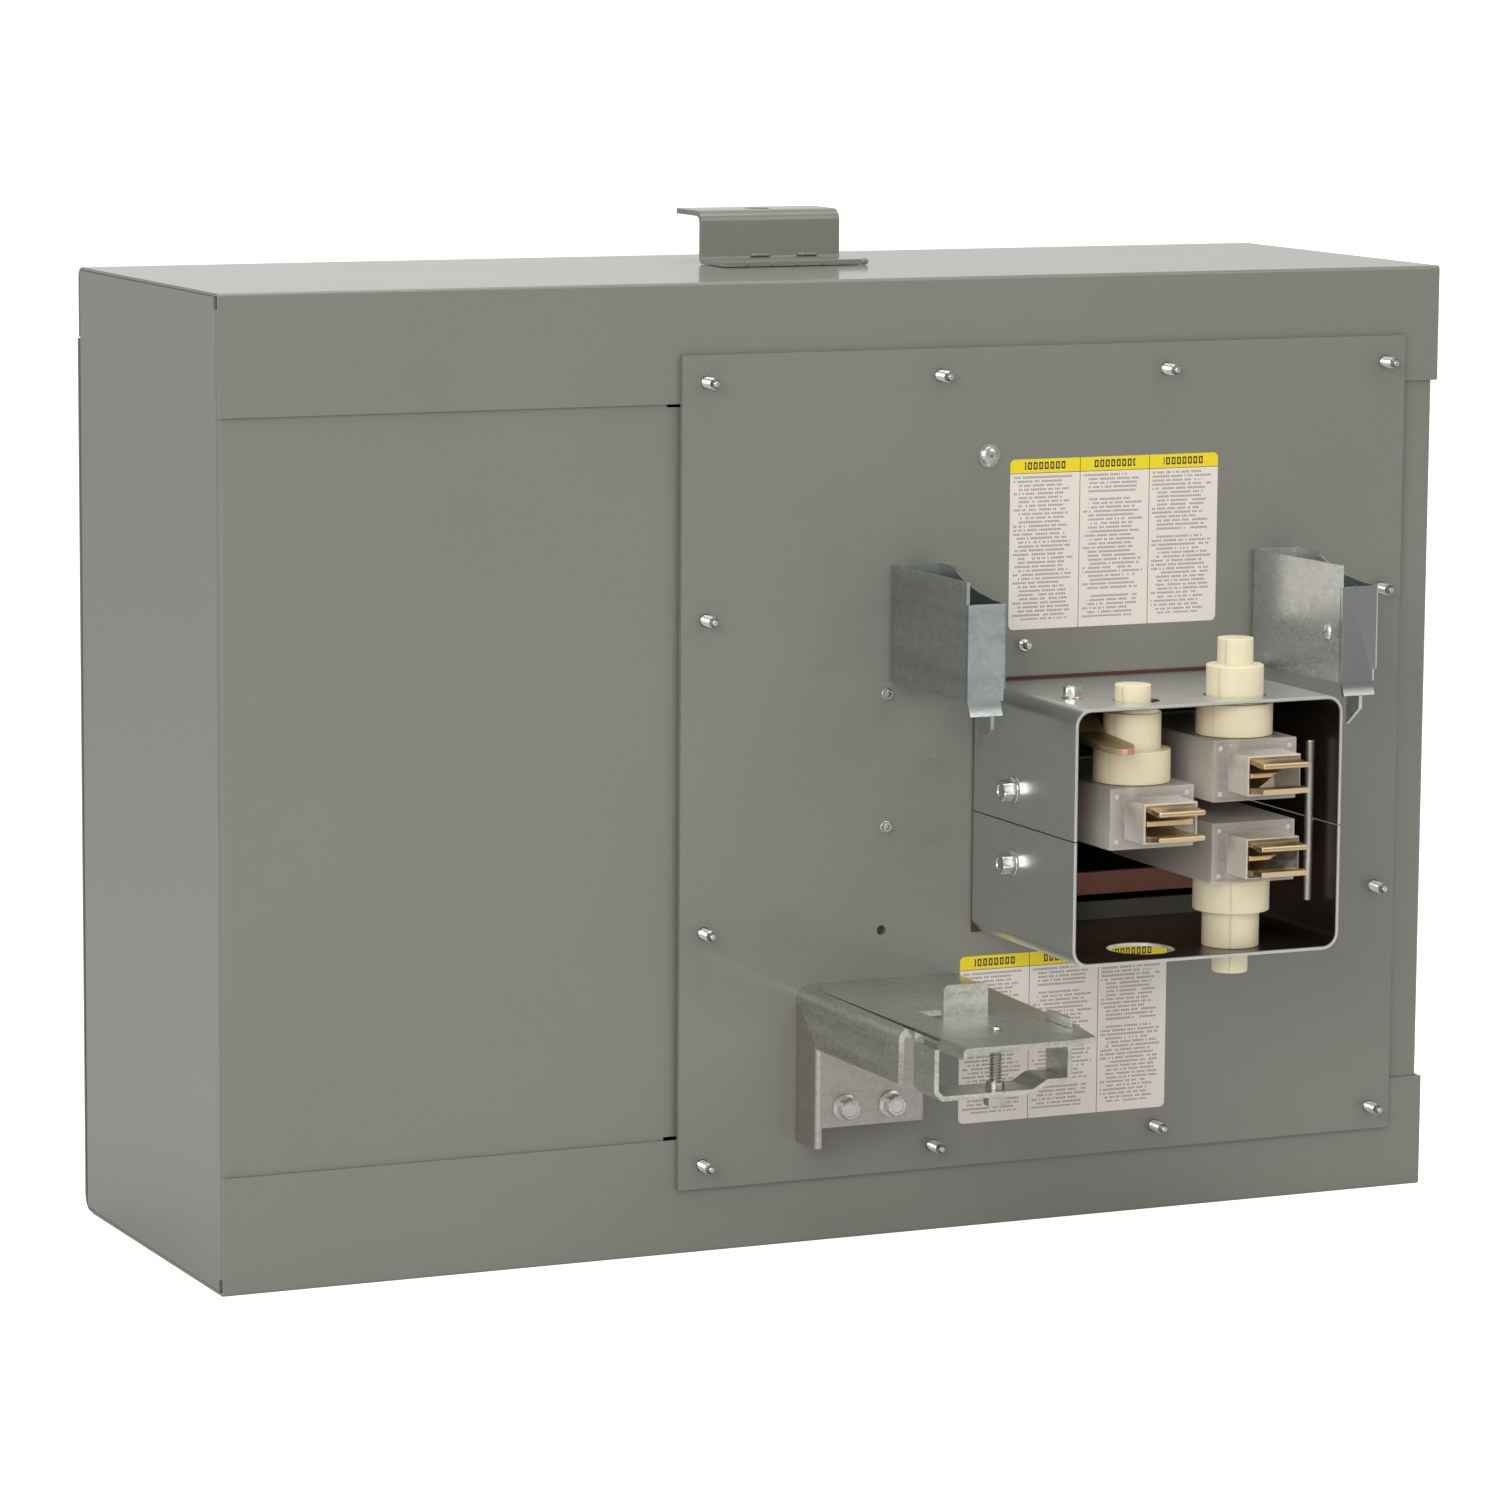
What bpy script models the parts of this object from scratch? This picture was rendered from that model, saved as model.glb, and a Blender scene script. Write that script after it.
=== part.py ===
"""Busway plug-in unit: a sheet-steel breaker enclosure with its throat, jaws, hooks and clamp.

Axes: +X to the right when facing the mounting side, +Y away from the busway (towards the door),
+Z up.  Inside this file Y = 0 is the outer face of the mounting wall and "reach" counts from it
towards the busway, so a point at reach r has y = -r.  One empty moves the whole assembly so that
the origin is the centre of the bottom of its box.
"""
import math

import bmesh
import bpy
from mathutils import Matrix, Vector

# ---------------------------------------------------------------- driving dimensions (metres)
BOX_WIDTH = 0.698
BOX_HEIGHT = 0.508
SHEET = 0.0015            # 16 gauge enclosure steel
GAP = 0.0003              # clearance between touching pieces
LAP = SHEET + GAP         # how far a lapped sheet stands off the one under it
CAP_BEND = SHEET + GAP    # outer bend radius of the caps, tight over the wrapper
BODY_DEPTH = 0.2185       # mounting wall to the front return flanges
BAND_FACE = 0.2182        # outer face of the fixed band above the door
BAND_BEND = 0.0055        # outer bend radius between the top and the fixed band
DOOR_FACE = 0.2203        # outer face of the door
DOOR_LOW = 0.0005         # underside of the door's bottom flange
DOOR_BEND = 0.0085        # outer bend radius along the door's bottom edge
DOOR_FLANGE = 0.0120      # depth of the door's bottom flange
HANDLE_REACH = 0.030      # operating handle, out from the door
BAND_TOP = 0.062          # flange of the top cap on the mounting side and right end
BAND_BOTTOM = 0.061
FIXED_BAND = 0.037        # flange of the top cap above the door

PLATE_X = (-0.0990, 0.3285)
PLATE_Z = (0.0345, 0.4710)
PLATE_REACH = (0.0021, 0.0051)
PLATE_FACE = PLATE_REACH[1] + GAP
SCREW_X = (-0.0852, 0.0485, 0.1822, 0.3160)
SCREW_Z = (0.0470, 0.1700, 0.3340, 0.4570)
SCREW_DIA = 0.0060

THROAT_X = (0.0697, 0.2262)
THROAT_Z = (0.1605, 0.2945)
THROAT_SEAM = 0.2260
THROAT_REACH = 0.1220
THROAT_STEEL = 0.0019
LINER = 0.0008            # fibre gasket behind the throat

POLE_Z = 0.0215           # spacing of the three bus bars
JAW_Z = 0.2365            # middle jaw
BOLT_REACH = 0.0990       # jaw bolt axis
BOOT = (0.0490, 0.0320)   # width and height of an insulating boot
BOOT_REACH = (0.0120, 0.1220)
FINGER_WIDTH = 0.0270
FINGER_TIP = 0.1555
STRAP_TIP = 0.1420
STRAP_THICK = 0.0032
FINGER_THICK = 0.0028
FINGER_GAP = 0.0033
STAB_THICK = 0.0030
POLES = {"a": (0.1145, JAW_Z, 1), "b": (0.1745, JAW_Z + POLE_Z, 1), "c": (0.1745, JAW_Z - POLE_Z, -1)}

HOOK_X = (0.0210, 0.2402)
HOOK_WIDTH = 0.0224
HOOK_REACH = 0.0955
HOOK_STEEL = 0.0019
HOOK_Z = (0.2966, 0.3587)
HOOK_DROP = 0.0115        # inner wall and flange end this far below the outer wall

ARM_X = (-0.0317, 0.0600)
ARM_TOP = 0.1389
ARM_STEEL = 0.0030
ARM_REACH = 0.1940
WEB_END = 0.1280
BASE_REACH = 0.0300
CLAMP_BOLT = (0.0100, 0.1538)     # x and reach of the clamp bolt
CLAMP_REACH = (0.1400, 0.1640)
CLAMP_STEEL = 0.0025

BREAKER_X = (-0.2300, -0.0600)
BREAKER_Y = (0.0050, 0.0850)
BREAKER_HALF = 0.0380
HANDLE_X = -0.1450
HINGE_AXIS = (0.3526, 0.2172)
HINGE_BARREL = 0.0031
LATCH_X = -0.3270
LATCH_Z = (0.0900, 0.3900)

MOUNT_X = (BOX_WIDTH / 2 - (HINGE_AXIS[0] + HINGE_BARREL)) / 2
MOUNT_Y = (ARM_REACH - (DOOR_FACE + HANDLE_REACH)) / 2

AXES = {"X": Vector((1, 0, 0)), "Y": Vector((0, 1, 0)), "Z": Vector((0, 0, 1))}

# ---------------------------------------------------------------- scene set-up
for old in list(bpy.data.objects):
    bpy.data.objects.remove(old, do_unlink=True)

parts = bpy.data.collections.new("busway_plug_in_unit")
cutters = bpy.data.collections.new("cutters")
bpy.context.scene.collection.children.link(parts)
bpy.context.scene.collection.children.link(cutters)

frame = bpy.data.objects.new("assembly_frame", None)
frame.location = (MOUNT_X, MOUNT_Y, 0)
parts.objects.link(frame)


# ---------------------------------------------------------------- materials
def finish(name, colour, roughness, metallic=0.0):
    """A Principled material for one kind of surface."""
    material = bpy.data.materials.new(name)
    material.use_nodes = True
    shader = material.node_tree.nodes["Principled BSDF"]
    shader.inputs["Base Color"].default_value = (*colour, 1)
    shader.inputs["Roughness"].default_value = roughness
    shader.inputs["Metallic"].default_value = metallic
    material.diffuse_color = (*colour, 1)
    return material


PAINT = finish("grey_paint", (0.235, 0.240, 0.215), 0.42)
GALVANIZED = finish("galvanized_steel", (0.42, 0.46, 0.46), 0.38, 1.0)
ZINC = finish("zinc_plated_steel", (0.70, 0.71, 0.70), 0.28, 1.0)
NYLON = finish("cream_nylon", (0.82, 0.72, 0.48), 0.45)
BOOT_VINYL = finish("milky_vinyl", (0.52, 0.50, 0.47), 0.35)
BRASS = finish("plated_contact", (0.75, 0.56, 0.26), 0.30, 1.0)
COPPER = finish("copper_bar", (0.62, 0.27, 0.17), 0.35, 1.0)
FIBRE = finish("red_fibre", (0.22, 0.07, 0.05), 0.70)
MOULDING = finish("black_moulding", (0.03, 0.03, 0.03), 0.50)


# ---------------------------------------------------------------- shape helpers
def place(name, mesh, material, parent=frame, location=(0, 0, 0)):
    """Put a mesh in the assembly under a plain name."""
    item = bpy.data.objects.new(name, mesh)
    item.parent = parent
    item.location = location
    mesh.materials.clear()
    mesh.materials.append(material)
    parts.objects.link(item)
    return item


def mesh_from(bm, name, smooth=True):
    """Turn a bmesh into a mesh, with round faces shaded smooth."""
    bmesh.ops.recalc_face_normals(bm, faces=bm.faces)
    mesh = bpy.data.meshes.new(name)
    bm.to_mesh(mesh)
    bm.free()
    if smooth:
        mesh.shade_smooth()
        mesh.set_sharp_from_angle(angle=math.radians(35))
    return mesh


def block_mesh(name, x, y, z):
    """A rectangular block between two values on each axis."""
    bm = bmesh.new()
    bmesh.ops.create_cube(bm, size=1)
    bmesh.ops.scale(bm, vec=(x[1] - x[0], y[1] - y[0], z[1] - z[0]), verts=bm.verts)
    bmesh.ops.translate(bm, vec=(sum(x) / 2, sum(y) / 2, sum(z) / 2), verts=bm.verts)
    return mesh_from(bm, name, smooth=False)


def rod_mesh(name, radius, start, end, axis="Z", sides=16, centre=(0, 0)):
    """A round or polygonal bar along one axis; centre gives its place on the other two."""
    bm = bmesh.new()
    bmesh.ops.create_cone(bm, cap_ends=True, segments=sides, radius1=radius, radius2=radius,
                          depth=end - start)
    bmesh.ops.translate(bm, vec=(0, 0, (start + end) / 2), verts=bm.verts)
    turn = AXES["Z"].rotation_difference(AXES[axis]).to_matrix()
    bmesh.ops.rotate(bm, matrix=turn, verts=bm.verts)
    others = [AXES[key] for key in "XYZ" if key != axis]
    bmesh.ops.translate(bm, vec=others[0] * centre[0] + others[1] * centre[1], verts=bm.verts)
    return mesh_from(bm, name)


def prism_mesh(name, outline, along, start, end):
    """A flat outline in the plane across one axis, pulled from start to end along it."""
    bm = bmesh.new()
    corners = [bm.verts.new(on_axis(u, v, start, along)) for u, v in outline]
    face = bm.faces.new(corners)
    top = bmesh.ops.extrude_face_region(bm, geom=[face])
    moved = [item for item in top["geom"] if isinstance(item, bmesh.types.BMVert)]
    bmesh.ops.translate(bm, vec=AXES[along] * (end - start), verts=moved)
    return mesh_from(bm, name, smooth=False)


def on_axis(u, v, w, along):
    """A point from its two outline values and its place along the axis."""
    return {"X": (w, u, v), "Y": (u, w, v), "Z": (u, v, w)}[along]


def rounded(points, radii, steps):
    """An open outline with each inner corner turned into an arc of its own radius."""
    path = [Vector(points[0])]
    for before, corner, after, radius in zip(points, points[1:], points[2:], radii):
        corner = Vector(corner)
        back = (Vector(before) - corner).normalized()
        ahead = (Vector(after) - corner).normalized()
        half = back.angle(ahead) / 2
        middle = corner + (back + ahead).normalized() * (radius / math.sin(half))
        first = corner + back * (radius / math.tan(half)) - middle
        last = corner + ahead * (radius / math.tan(half)) - middle
        sweep = last.angle_signed(first)
        for step in range(steps + 1):
            path.append(middle + Matrix.Rotation(sweep * step / steps, 2) @ first)
    path.append(Vector(points[-1]))
    return path


def folded(name, points, along, start, end, thickness, material, radius=0.003, steps=3):
    """Folded sheet metal: the outer face is on the right of the outline, and it is pulled
    from start to end along the fold lines.  radius may be one value or one for each fold."""
    radii = radius if isinstance(radius, tuple) else (radius,) * len(points)
    path = rounded(points, radii, steps)
    bm = bmesh.new()
    near = [bm.verts.new(on_axis(*point, start, along)) for point in path]
    far = [bm.verts.new(on_axis(*point, end, along)) for point in path]
    for index in range(len(path) - 1):
        quad = [near[index], near[index + 1], far[index + 1], far[index]]
        bm.faces.new(quad if along != "Y" else reversed(quad))
    mesh = bpy.data.meshes.new(name)
    bm.to_mesh(mesh)
    bm.free()
    mesh.shade_smooth()
    mesh.set_sharp_from_angle(angle=math.radians(35))
    item = place(name, mesh, material)
    wall = item.modifiers.new("sheet", "SOLIDIFY")
    wall.thickness = thickness
    wall.offset = -1
    wall.use_even_offset = True
    return item


def turned(name, profile, material, location=(0, 0, 0), turn=(0, 0, 0), steps=20, parent=frame):
    """A turned piece: profile points (radius, height) run top to bottom, on the axis at each end."""
    mesh = bpy.data.meshes.new(name)
    mesh.from_pydata([(radius, 0, height) for radius, height in profile],
                     [(i, i + 1) for i in range(len(profile) - 1)], [])
    item = place(name, mesh, material, parent, location)
    item.rotation_euler = turn
    screw = item.modifiers.new("turn", "SCREW")
    screw.steps = steps
    screw.render_steps = steps
    screw.use_merge_vertices = True
    screw.merge_threshold = 0.00005
    screw.use_smooth_shade = False
    return item


def combine(item, mesh, operation):
    """Join a mesh, drawn on the piece's own axes, to the piece, or cut it out of the piece."""
    tool = bpy.data.objects.new(item.name + "_tool", mesh)
    tool.parent = item.parent
    tool.location = item.location
    tool.rotation_euler = item.rotation_euler
    tool.hide_render = True
    tool.display_type = "WIRE"
    cutters.objects.link(tool)
    step = item.modifiers.new(operation.lower(), "BOOLEAN")
    step.operation = operation
    step.solver = "EXACT"
    step.object = tool
    return tool


def cut(item, mesh):
    return combine(item, mesh, "DIFFERENCE")


def join(item, mesh):
    return combine(item, mesh, "UNION")


def pivot(name, location):
    """An empty on the axis that some pieces turn about or slide along."""
    axis = bpy.data.objects.new(name, None)
    axis.parent = frame
    axis.location = location
    parts.objects.link(axis)
    return axis


def hang(item, axis):
    """Give a piece to a pivot without moving it."""
    item.parent = axis
    item.location = item.location - axis.location


def hex_flange_screw(name, flange, across, shank, length, location, turn, parent=frame):
    """A hex-flange screw; its head points to local +Z and its shank to local -Z."""
    head = across * 0.62
    rim = 0.0014
    profile = [(0, rim), (flange * 0.36, rim), (flange / 2, rim * 0.45), (flange / 2, 0), (shank / 2, 0),
               (shank / 2, -length), (0, -length)]
    item = turned(name, profile, ZINC, location, turn, steps=16, parent=parent)
    join(item, rod_mesh(name + "_hex", across / 2 / math.cos(math.pi / 6), rim - 0.0006, rim + head, sides=6))
    return item


def reach(value):
    """The y of a point that stands this far out from the mounting wall."""
    return -value


# ---------------------------------------------------------------- enclosure shell
def enclosure():
    """Wrapper with both ends, lapped top and bottom caps, and the hanger on the top."""
    half = BOX_WIDTH / 2
    lip = 0.015
    wrapper = folded("body_wrapper",
                     [(lip - half, BODY_DEPTH), (-half, BODY_DEPTH), (-half, 0), (half, 0),
                      (half, BODY_DEPTH), (half - lip, BODY_DEPTH)],
                     "Z", LAP, BOX_HEIGHT - LAP, SHEET, PAINT)
    for waste in (band_corner(), door_corner()):
        cut(wrapper, prism_mesh("corner_waste", waste, "X", -half - 0.01, half + 0.01))
    relief = 0.0062
    for z in ((0, LAP + relief), (BOX_HEIGHT - LAP - relief, BOX_HEIGHT)):
        cut(wrapper, block_mesh("bend_relief", (-half - 0.01, -half + 0.0035), (-0.01, 0.0045), z))
    for z in (BAND_BOTTOM, BOX_HEIGHT - BAND_TOP):
        cut(wrapper, block_mesh("seam_slot", (PLATE_X[0] - 0.0065, PLATE_X[0] + 0.0040), (-0.01, 0.01),
                                (z - 0.0017, z + 0.0017)))
    jaw_window = block_mesh("jaw_window", (THROAT_X[0] - 0.012, THROAT_X[1] + 0.012), (-0.01, 0.01),
                            (THROAT_Z[0] - 0.004, THROAT_Z[1] + 0.004))
    cut(wrapper, jaw_window)

    side = half + LAP
    top = folded("top_cap",
                 [(BAND_FACE, BOX_HEIGHT - FIXED_BAND), (BAND_FACE, BOX_HEIGHT), (-LAP, BOX_HEIGHT),
                  (-LAP, BOX_HEIGHT - BAND_TOP)],
                 "X", -half, side, SHEET, PAINT, radius=(BAND_BEND, CAP_BEND), steps=4)
    join(top, block_mesh("top_side", (half + GAP, side), (-LAP + 0.0004, HINGE_AXIS[1] - 0.005),
                         (BOX_HEIGHT - BAND_TOP, BOX_HEIGHT - 0.0004)))
    bottom = folded("bottom_cap", [(-LAP, BAND_BOTTOM), (-LAP, 0), (DOOR_FACE - DOOR_FLANGE - 0.001, 0)],
                    "X", -half, side, SHEET, PAINT, radius=CAP_BEND)
    join(bottom, block_mesh("bottom_side", (half + GAP, side), (-LAP + 0.0004, HINGE_AXIS[1] - 0.005),
                            (0.0004, BAND_BOTTOM)))
    for x in SCREW_X:
        for z in SCREW_Z:
            if x in (SCREW_X[0], SCREW_X[3]) or z in (SCREW_Z[0], SCREW_Z[3]):
                for sheet in plate_layers(wrapper, top, bottom, z):
                    cut(sheet, screw_hole(x, z))
    return wrapper


def arc(centre, radius, start, stop, steps=5):
    """Points of an arc in a plane, from one angle to another in degrees."""
    angles = [math.radians(start + (stop - start) * step / steps) for step in range(steps + 1)]
    return [(centre[0] + radius * math.cos(a), centre[1] + radius * math.sin(a)) for a in angles]


def band_corner():
    """What the wrapper loses at its upper front corner, under the fixed band."""
    clear = BAND_BEND - SHEET - 0.0004
    centre = (BAND_FACE - BAND_BEND, BOX_HEIGHT - BAND_BEND)
    low = BOX_HEIGHT - FIXED_BAND - GAP
    return [(0.24, low), (centre[0] + clear, low), *arc(centre, clear, 0, 90), (centre[0], 0.52),
            (0.24, 0.52)]


def door_corner():
    """What the wrapper loses at its lower front corner, inside the door's rounded bottom edge."""
    clear = DOOR_BEND - SHEET - 0.0005
    centre = (DOOR_FACE - DOOR_BEND, DOOR_LOW + DOOR_BEND)
    back = DOOR_FACE - DOOR_FLANGE - 0.0025
    return [(back, -0.01), (back, centre[1] - clear), *arc(centre, clear, -90, 0), (0.24, centre[1]),
            (0.24, -0.01)]


def plate_layers(wrapper, top, bottom, z):
    """The sheets that a plate screw at this height passes through."""
    layers = [wrapper]
    if z > BOX_HEIGHT - BAND_TOP:
        layers.append(top)
    if z < BAND_BOTTOM:
        layers.append(bottom)
    return layers


def screw_hole(x, z):
    return rod_mesh("screw_hole", SCREW_DIA / 2 + 0.0005, -0.01, 0.01, "Y", 8, (x, z))


def hanger():
    """Z-shaped hanger with a hole in its upper flange, welded to the top."""
    steel = 0.003
    web, foot, top = 0.135, 0.100, 0.165
    z = BOX_HEIGHT + GAP
    height = BOX_HEIGHT + 0.0285 - steel
    item = folded("hanger_bracket", [(top, height), (web, height), (web, z), (foot, z)],
                  "X", -0.028, 0.054, steel, PAINT, radius=0.0035)
    item.modifiers["sheet"].offset = 1
    cut(item, rod_mesh("hanger_hole", 0.007, BOX_HEIGHT + 0.015, BOX_HEIGHT + 0.05, "Z", 24, (0.013, 0.150)))
    return item


# ---------------------------------------------------------------- mounting plate and hooks
def mounting_plate():
    """Flat plate over the jaw window, with its twelve screws."""
    plate = place("mounting_plate", block_mesh("mounting_plate", PLATE_X, (reach(PLATE_REACH[1]),
                                                                          reach(PLATE_REACH[0])), PLATE_Z), PAINT)
    cut(plate, throat_window("plate_window"))
    cut(plate, rod_mesh("spare_screw_hole", 0.0026, -0.01, 0.0, "Y", 12, (0.0172, 0.1650)))
    number = 0
    for z in SCREW_Z:
        for x in SCREW_X:
            if x in (SCREW_X[0], SCREW_X[3]) or z in (SCREW_Z[0], SCREW_Z[3]):
                number += 1
                cut(plate, screw_hole(x, z))
                plate_screw(number, x, z)


def throat_window(name):
    """The hole inside the throat, through the plate."""
    border = 0.0115
    return block_mesh(name, (THROAT_X[0] + border, THROAT_X[1] - border), (reach(0.009), 0.0),
                      (THROAT_Z[0] + border, THROAT_Z[1] - border))


def plate_screw(number, x, z):
    """Self-tapping screw driven from inside, with its point showing on the busway side."""
    head_face = SHEET + GAP
    radius = SCREW_DIA / 2
    tip = -0.0178
    profile = [(0, head_face + 0.0032), (0.0048, head_face + 0.0032), (0.0058, head_face),
               (radius, head_face),
               (radius, tip + 0.0045), (radius * 0.35, tip), (0, tip)]
    turned("plate_screw_%02d" % number, profile, ZINC, (x, 0, z), (-math.pi / 2, 0, 0), steps=8)


def hook(name, x, spread):
    """Folded hook: outer wall, back, inner wall cut low, and a front flange with lip and tail."""
    back = reach(PLATE_FACE)
    front = reach(HOOK_REACH)
    right = x + HOOK_WIDTH
    inner = HOOK_STEEL + 0.0006
    low, top = HOOK_Z
    crown = top - HOOK_DROP
    line = [(x, front + inner), (x - spread[0], back), (right + spread[1], back), (right, front), (x, front)]
    item = folded(name, line, "Z", low, top, HOOK_STEEL, GALVANIZED, radius=(0.0036, 0.0022, 0.0026),
                  steps=3)
    item.modifiers["sheet"].offset = 1
    sweep = [(front - 0.01, top + 0.01), (front - 0.01, crown), (front + 0.0150, crown + 0.0004),
             (front + 0.0350, crown + 0.0022), (front + 0.0500, crown + 0.0049),
             (front + 0.0620, crown + 0.0085), (front + 0.0700, top + 0.0001), (front + 0.0700, top + 0.01)]
    cut(item, prism_mesh("sweep", sweep, "X", x + HOOK_STEEL + 0.0002, right + 0.01))
    behind = front + HOOK_STEEL + 0.0003
    cut(item, block_mesh("flange_top", (x - 0.01, x + HOOK_STEEL + 0.0010), (front - 0.01, behind),
                         (crown, top + 0.01)))
    cut(item, block_mesh("bend_notch", (right - 0.0036, right + 0.01), (front - 0.01, front + 0.0045),
                         (low - 0.01, low + 0.0068)))
    lip = [(front + HOOK_STEEL, low + 0.001), (front, low + 0.001),
           (front - 0.0033, low - 0.0064), (front - 0.0033 + HOOK_STEEL, low - 0.0068)]
    join(item, prism_mesh("lip", lip, "X", x + 0.0001, right - 0.0038))
    tail_front = front + 0.0175
    tail_back = front + 0.0305
    tail_x = right + spread[1] * 0.28
    tail = [(tail_front, low + 0.001), (tail_front, low - 0.0165), (tail_back, low - 0.0265),
            (tail_back, low + 0.001)]
    join(item, prism_mesh("tail", tail, "X", tail_x - HOOK_STEEL, tail_x + 0.0001))
    return item


# ---------------------------------------------------------------- throat
def throat():
    """Two shells that meet at a level seam, on a fibre gasket."""
    hem = THROAT_STEEL + 0.0002
    liner = place("throat_gasket",
                  block_mesh("throat_gasket", (THROAT_X[0] + 0.0002, THROAT_X[1] - 0.0002),
                             (reach(PLATE_FACE + LINER), reach(PLATE_FACE)),
                             (THROAT_Z[0] + 0.0002, THROAT_Z[1] + 0.0016)), FIBRE)
    cut(liner, block_mesh("gasket_window", (THROAT_X[0] + hem, THROAT_X[1] - hem), (reach(0.009), 0.0),
                          (THROAT_Z[0] + hem, THROAT_Z[1] - hem)))
    back = reach(PLATE_FACE + LINER + GAP)
    front = reach(THROAT_REACH)
    corner = 0.009
    upper = folded("throat_upper", [(THROAT_X[1], THROAT_SEAM + GAP), (THROAT_X[1], THROAT_Z[1]),
                                    (THROAT_X[0], THROAT_Z[1]), (THROAT_X[0], THROAT_SEAM + GAP)],
                   "Y", front, back, THROAT_STEEL, GALVANIZED, radius=corner, steps=6)
    lower = folded("throat_lower", [(THROAT_X[0], THROAT_SEAM - GAP), (THROAT_X[0], THROAT_Z[0]),
                                    (THROAT_X[1], THROAT_Z[0]), (THROAT_X[1], THROAT_SEAM - GAP)],
                   "Y", front, back, THROAT_STEEL, GALVANIZED, radius=corner, steps=6)
    holes = {"a": (upper, 0.0122, 0.0022), "b": (upper, 0.0165, 0.0), "c": (lower, 0.0106, 0.0)}
    for pole, (shell, radius, offset) in holes.items():
        x, z, side = POLES[pole]
        wall = THROAT_Z[1] if side > 0 else THROAT_Z[0]
        cut(shell, rod_mesh("bolt_hole", radius, wall - 0.01, wall + 0.01, "Z", 24,
                            (x + offset, reach(BOLT_REACH))))
    spare = rod_mesh("spare_hole", 0.018, THROAT_Z[0] - 0.01, THROAT_Z[0] + 0.01, "Z", 28,
                     (POLES["a"][0] + 0.011, reach(0.0915)))
    cut(lower, spare)
    for shell, z in ((upper, 0.2434), (lower, 0.2048)):
        cut(shell, rod_mesh("side_hole", 0.0035, THROAT_X[0] - 0.01, THROAT_X[0] + 0.01, "X", 12,
                            (reach(0.0520), z)))
    cut(upper, rod_mesh("top_hole", 0.0030, THROAT_Z[1] - 0.01, THROAT_Z[1] + 0.01, "Z", 12,
                        (0.0898, reach(0.0790))))
    for number, z in ((1, 0.2434), (2, 0.2048)):
        hex_flange_screw("throat_bolt_%d" % number, 0.0150, 0.0098, 0.0060, 0.0070,
                         (THROAT_X[0] - GAP, reach(0.0520), z), (0, -math.pi / 2, 0))
    hex_flange_screw("stab_screw", 0.0110, 0.0086, 0.0050, 0.0016,
                     (0.0898, reach(0.0790), THROAT_Z[1] + GAP), (0, 0, 0))


# ---------------------------------------------------------------- jaws
def jaw(pole):
    """One plug-in jaw: boot, two clips, the line strap between them, and its nylon bolt."""
    x, z, side = POLES[pole]
    axis = pivot("jaw_axis_" + pole, (x, reach(BOLT_REACH), z))
    jaw_boot(pole, x, z, side)
    jaw_clip("jaw_clip_upper_" + pole, x, z, 1, axis)
    jaw_clip("jaw_clip_lower_" + pole, x, z, -1, axis)
    line_strap(pole, x, z)
    jaw_bolt(pole, x, z, side, axis)


def jaw_boot(pole, x, z, side):
    """Moulded insulating boot: a long sleeve with a narrow open nose around the fingers."""
    width, height = BOOT
    wall = 0.0020
    item = place("jaw_boot_" + pole, block_mesh("jaw_boot", (x - width / 2, x + width / 2),
                                                (reach(BOOT_REACH[1]), reach(BOOT_REACH[0])),
                                                (z - height / 2, z + height / 2)), BOOT_VINYL)
    nose_half = FINGER_WIDTH / 2 + 0.0020
    nose_tall = 0.0105
    nose_wall = 0.0012
    nose_end = STRAP_TIP + 0.0005
    join(item, block_mesh("nose", (x - nose_half, x + nose_half), (reach(nose_end), reach(BOOT_REACH[1]) + 0.001),
                          (z - nose_tall, z + nose_tall)))
    cut(item, block_mesh("hollow", (x - width / 2 + wall, x + width / 2 - wall),
                         (reach(BOOT_REACH[1] - wall), reach(BOOT_REACH[0]) + 0.01),
                         (z - height / 2 + wall, z + height / 2 - wall)))
    cut(item, block_mesh("nose_hollow", (x - nose_half + nose_wall, x + nose_half - nose_wall),
                         (reach(nose_end) - 0.01, reach(BOOT_REACH[1] - 0.006)),
                         (z - nose_tall + nose_wall, z + nose_tall - nose_wall)))
    lid = sorted((z + side * (height / 2 - 0.004), z + side * (height / 2 + 0.004)))
    cut(item, rod_mesh("shank_hole", 0.0045, lid[0], lid[1], "Z", 16, (x, reach(BOLT_REACH))))
    return item


def jaw_clip(name, x, z, side, axis):
    """Spring contact clip: flat at the bolt, set in towards the bar near its flared tip."""
    inner = STRAP_THICK / 2 + FINGER_GAP
    back, knee, throat_end = 0.0760, 0.1440, 0.1520
    flat = inner + 0.0010
    line = [(reach(back), z + side * flat), (reach(knee), z + side * flat),
            (reach(throat_end), z + side * inner), (reach(FINGER_TIP), z + side * (inner + 0.0004))]
    points = line if side > 0 else line[::-1]
    item = folded(name, points, "X", x - FINGER_WIDTH / 2, x + FINGER_WIDTH / 2, FINGER_THICK, BRASS,
                  radius=0.004, steps=2)
    item.modifiers["sheet"].offset = 1
    hang(item, axis)
    cut(item, rod_mesh("clip_hole", 0.0038, z - 0.02, z + 0.02, "Z", 12, (x, reach(BOLT_REACH))))
    return item


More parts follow.
